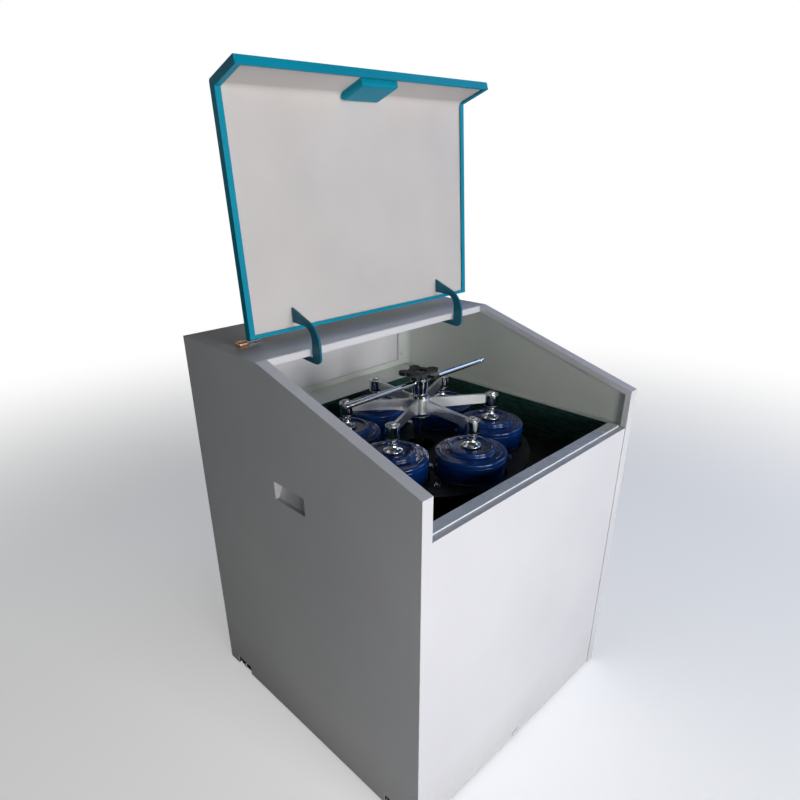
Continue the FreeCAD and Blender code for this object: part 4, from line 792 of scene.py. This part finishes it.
isolatorTurning = {
    "rubber": [(0, 5.5, 0), (31, 5.5, 0), (35, 18, 6), (38, 54, 12), (35, 90, 6), (31, 102.5, 0), (0, 102.5, 0)],
    "plates": [(0, 5.8), (102.2, 5.7)],
    "plateRadius": 32, "flats": 17, "reachOfBolt": 0,
}
low, high = boxOf("rubber_isolators")
barrels = []
endPlates = []
plateRadius = isolatorTurning["plateRadius"]
waist = isolatorTurning["rubber"][3][0]
for side in (-1, 1):
    for end in (-1, 1):
        x = (high.x - waist) * side
        y = (low.y + high.y) / 2 + ((high.y - low.y) / 2 - waist) * end
        barrels.append(turnedShape(isolatorTurning["rubber"], (x, y, low.z), 56))
        for level, thickness in isolatorTurning["plates"]:
            plate = [(0, level, 0), (plateRadius, level, 0.8), (plateRadius, level + thickness, 0.8),
                     (0, level + thickness, 0)]
            if level == 0:
                plate = [(0, 0, 0), (plateRadius, 0, 0.8), (plateRadius, thickness, 0.8), (0, thickness, 0)]
            endPlates.append(turnedShape(plate, (x, y, low.z), 48))
keepPiece("isolator_barrels", gathered(barrels), "rubber_isolators", replaced=("rubber_isolators",))
keepPiece("isolator_plates", gathered(endPlates), "rubber_isolators", finish="bright_steel")

# rear panel: pressed louvre blades behind the slots, and pan-head screws along the edges

louvreBlade = {"length": 170, "shift": 42.5, "base": 160, "pitch": 24, "rows": 6, "height": 7,
               "steps": [(0, -1.6, 0.4), (0, -2.2, -0.8), (0, -2.2, -2.6), (0, -1.0, -3.4)], "thickness": 0.9}
rearLow, rearHigh = boxOf("rear_panel")


def bladeShape(left, level):
    shape = bmesh.new()
    start = Vector((left, rearLow.y, level)) / 1000
    ends = [shape.verts.new(start), shape.verts.new(start + Vector((louvreBlade["length"] / 1000, 0, 0)))]
    edges = [shape.edges.new(ends)]
    for step in louvreBlade["steps"]:
        grown = bmesh.ops.extrude_edge_only(shape, edges=edges)
        verts = [item for item in grown["geom"] if isinstance(item, bmesh.types.BMVert)]
        edges = [item for item in grown["geom"] if isinstance(item, bmesh.types.BMEdge)]
        bmesh.ops.translate(shape, vec=Vector(step) / 1000, verts=verts)
    bmesh.ops.recalc_face_normals(shape, faces=shape.faces)
    bmesh.ops.solidify(shape, geom=shape.faces[:], thickness=louvreBlade["thickness"] / 1000)
    return shape


blades = []
for row in range(louvreBlade["rows"]):
    level = louvreBlade["base"] + louvreBlade["pitch"] * row + louvreBlade["height"]
    for left in (-louvreBlade["shift"] - louvreBlade["length"], louvreBlade["shift"]):
        blades.append(bladeShape(left, level))
keepPiece("louvre_blades", gathered(blades), "rear_panel", finish="cabinet_paint")

panScrew = {
    "head": [(0, 0, 0), (4.2, 0, 0.3), (4.2, 0.7, 0.5), (2.2, 1.7, 0.4), (1.9, 1.7, 0.1), (1.9, 0.5, 0), (0, 0.5, 0)],
    "edge": 9, "levels": (60, 330, 600, 870), "across": (-160, 160),
}
screws = []
for level in panScrew["levels"]:
    for x in (rearLow.x + panScrew["edge"], rearHigh.x - panScrew["edge"]):
        screws.append(turnedShape(panScrew["head"], (x, rearHigh.y, level), 28, lean=turnToY))
for x in panScrew["across"]:
    for level in (rearLow.z + panScrew["edge"], rearHigh.z - panScrew["edge"]):
        screws.append(turnedShape(panScrew["head"], (x, rearHigh.y, level), 28, lean=turnToY))
keepPiece("rear_screws", gathered(screws), "rear_panel", finish="bright_steel")

# motor: lid screws and a closed gland on the terminal box

boxLow, boxHigh = boxOf("terminal_box")
boxScrews = []
for y in (boxLow.y + 9, boxHigh.y - 9):
    for z in (boxLow.z + 9, boxHigh.z - 9):
        boxScrews.append(turnedShape(panScrew["head"], (boxHigh.x, y, z), 24, lean=turnToX))
keepPiece("terminal_screws", gathered(boxScrews), "terminal_box", finish="bright_steel")
glandPlace = Vector(((boxLow.x + boxHigh.x) / 2, (boxLow.y + boxHigh.y) / 2, boxLow.z - 16))
gland = [
    hexShape(22, 8, glandPlace + Vector((0, 0, 8)), 1.0),
    turnedShape([(0, 0, 0), (7, 0, 1), (9.5, 3, 1.5), (9.5, 8.5, 0), (0, 8.5, 0)], glandPlace, 40),
]
keepPiece("terminal_gland", gathered(gland), "terminal_box", finish="knob_plastic")

# clip with a threaded stud that lies on the flat top behind the lid

topClip = {
    "low": (-316, 181, 0), "high": (-294, 201, 9), "rounding": 3.2,
    "stud": [(0, 0, 0), (5.4, 0, 0.8), (5.4, 9, 0.8), (3.4, 10.2, 0.3), (3.4, 16, 0.2)],
    "rings": 6, "ringPitch": 2.4, "crest": 4.6, "lift": 6.2,
}
flatTop = boxOf("top_panel")[1].z
clipLow = Vector(topClip["low"]) + Vector((0, 0, flatTop))
clipHigh = Vector(topClip["high"]) + Vector((0, 0, flatTop))
keepPiece("top_clip", blockShape(clipLow, clipHigh, topClip["rounding"]), "top_panel",
          finish="bright_steel", look="copper_clip")
studProfile = list(topClip["stud"])
for ring in range(topClip["rings"]):
    along = 16 + ring * topClip["ringPitch"]
    studProfile += [(topClip["crest"], along + 0.8, 0.2), (topClip["crest"], along + 1.3, 0.2), (2.9, along + 2.2, 0.1)]
studProfile += [(2.2, 16 + topClip["rings"] * topClip["ringPitch"] + 1, 0.3)]
studProfile += [(0, 16 + topClip["rings"] * topClip["ringPitch"] + 1, 0)]
studPlace = (clipHigh.x - 1, (clipLow.y + clipHigh.y) / 2 - 2, flatTop + topClip["lift"])
stud = turnedShape(studProfile, studPlace, 32, lean=turnToX)
keepPiece("top_stud", stud, "top_panel", finish="bright_steel")
print("small parts ready")
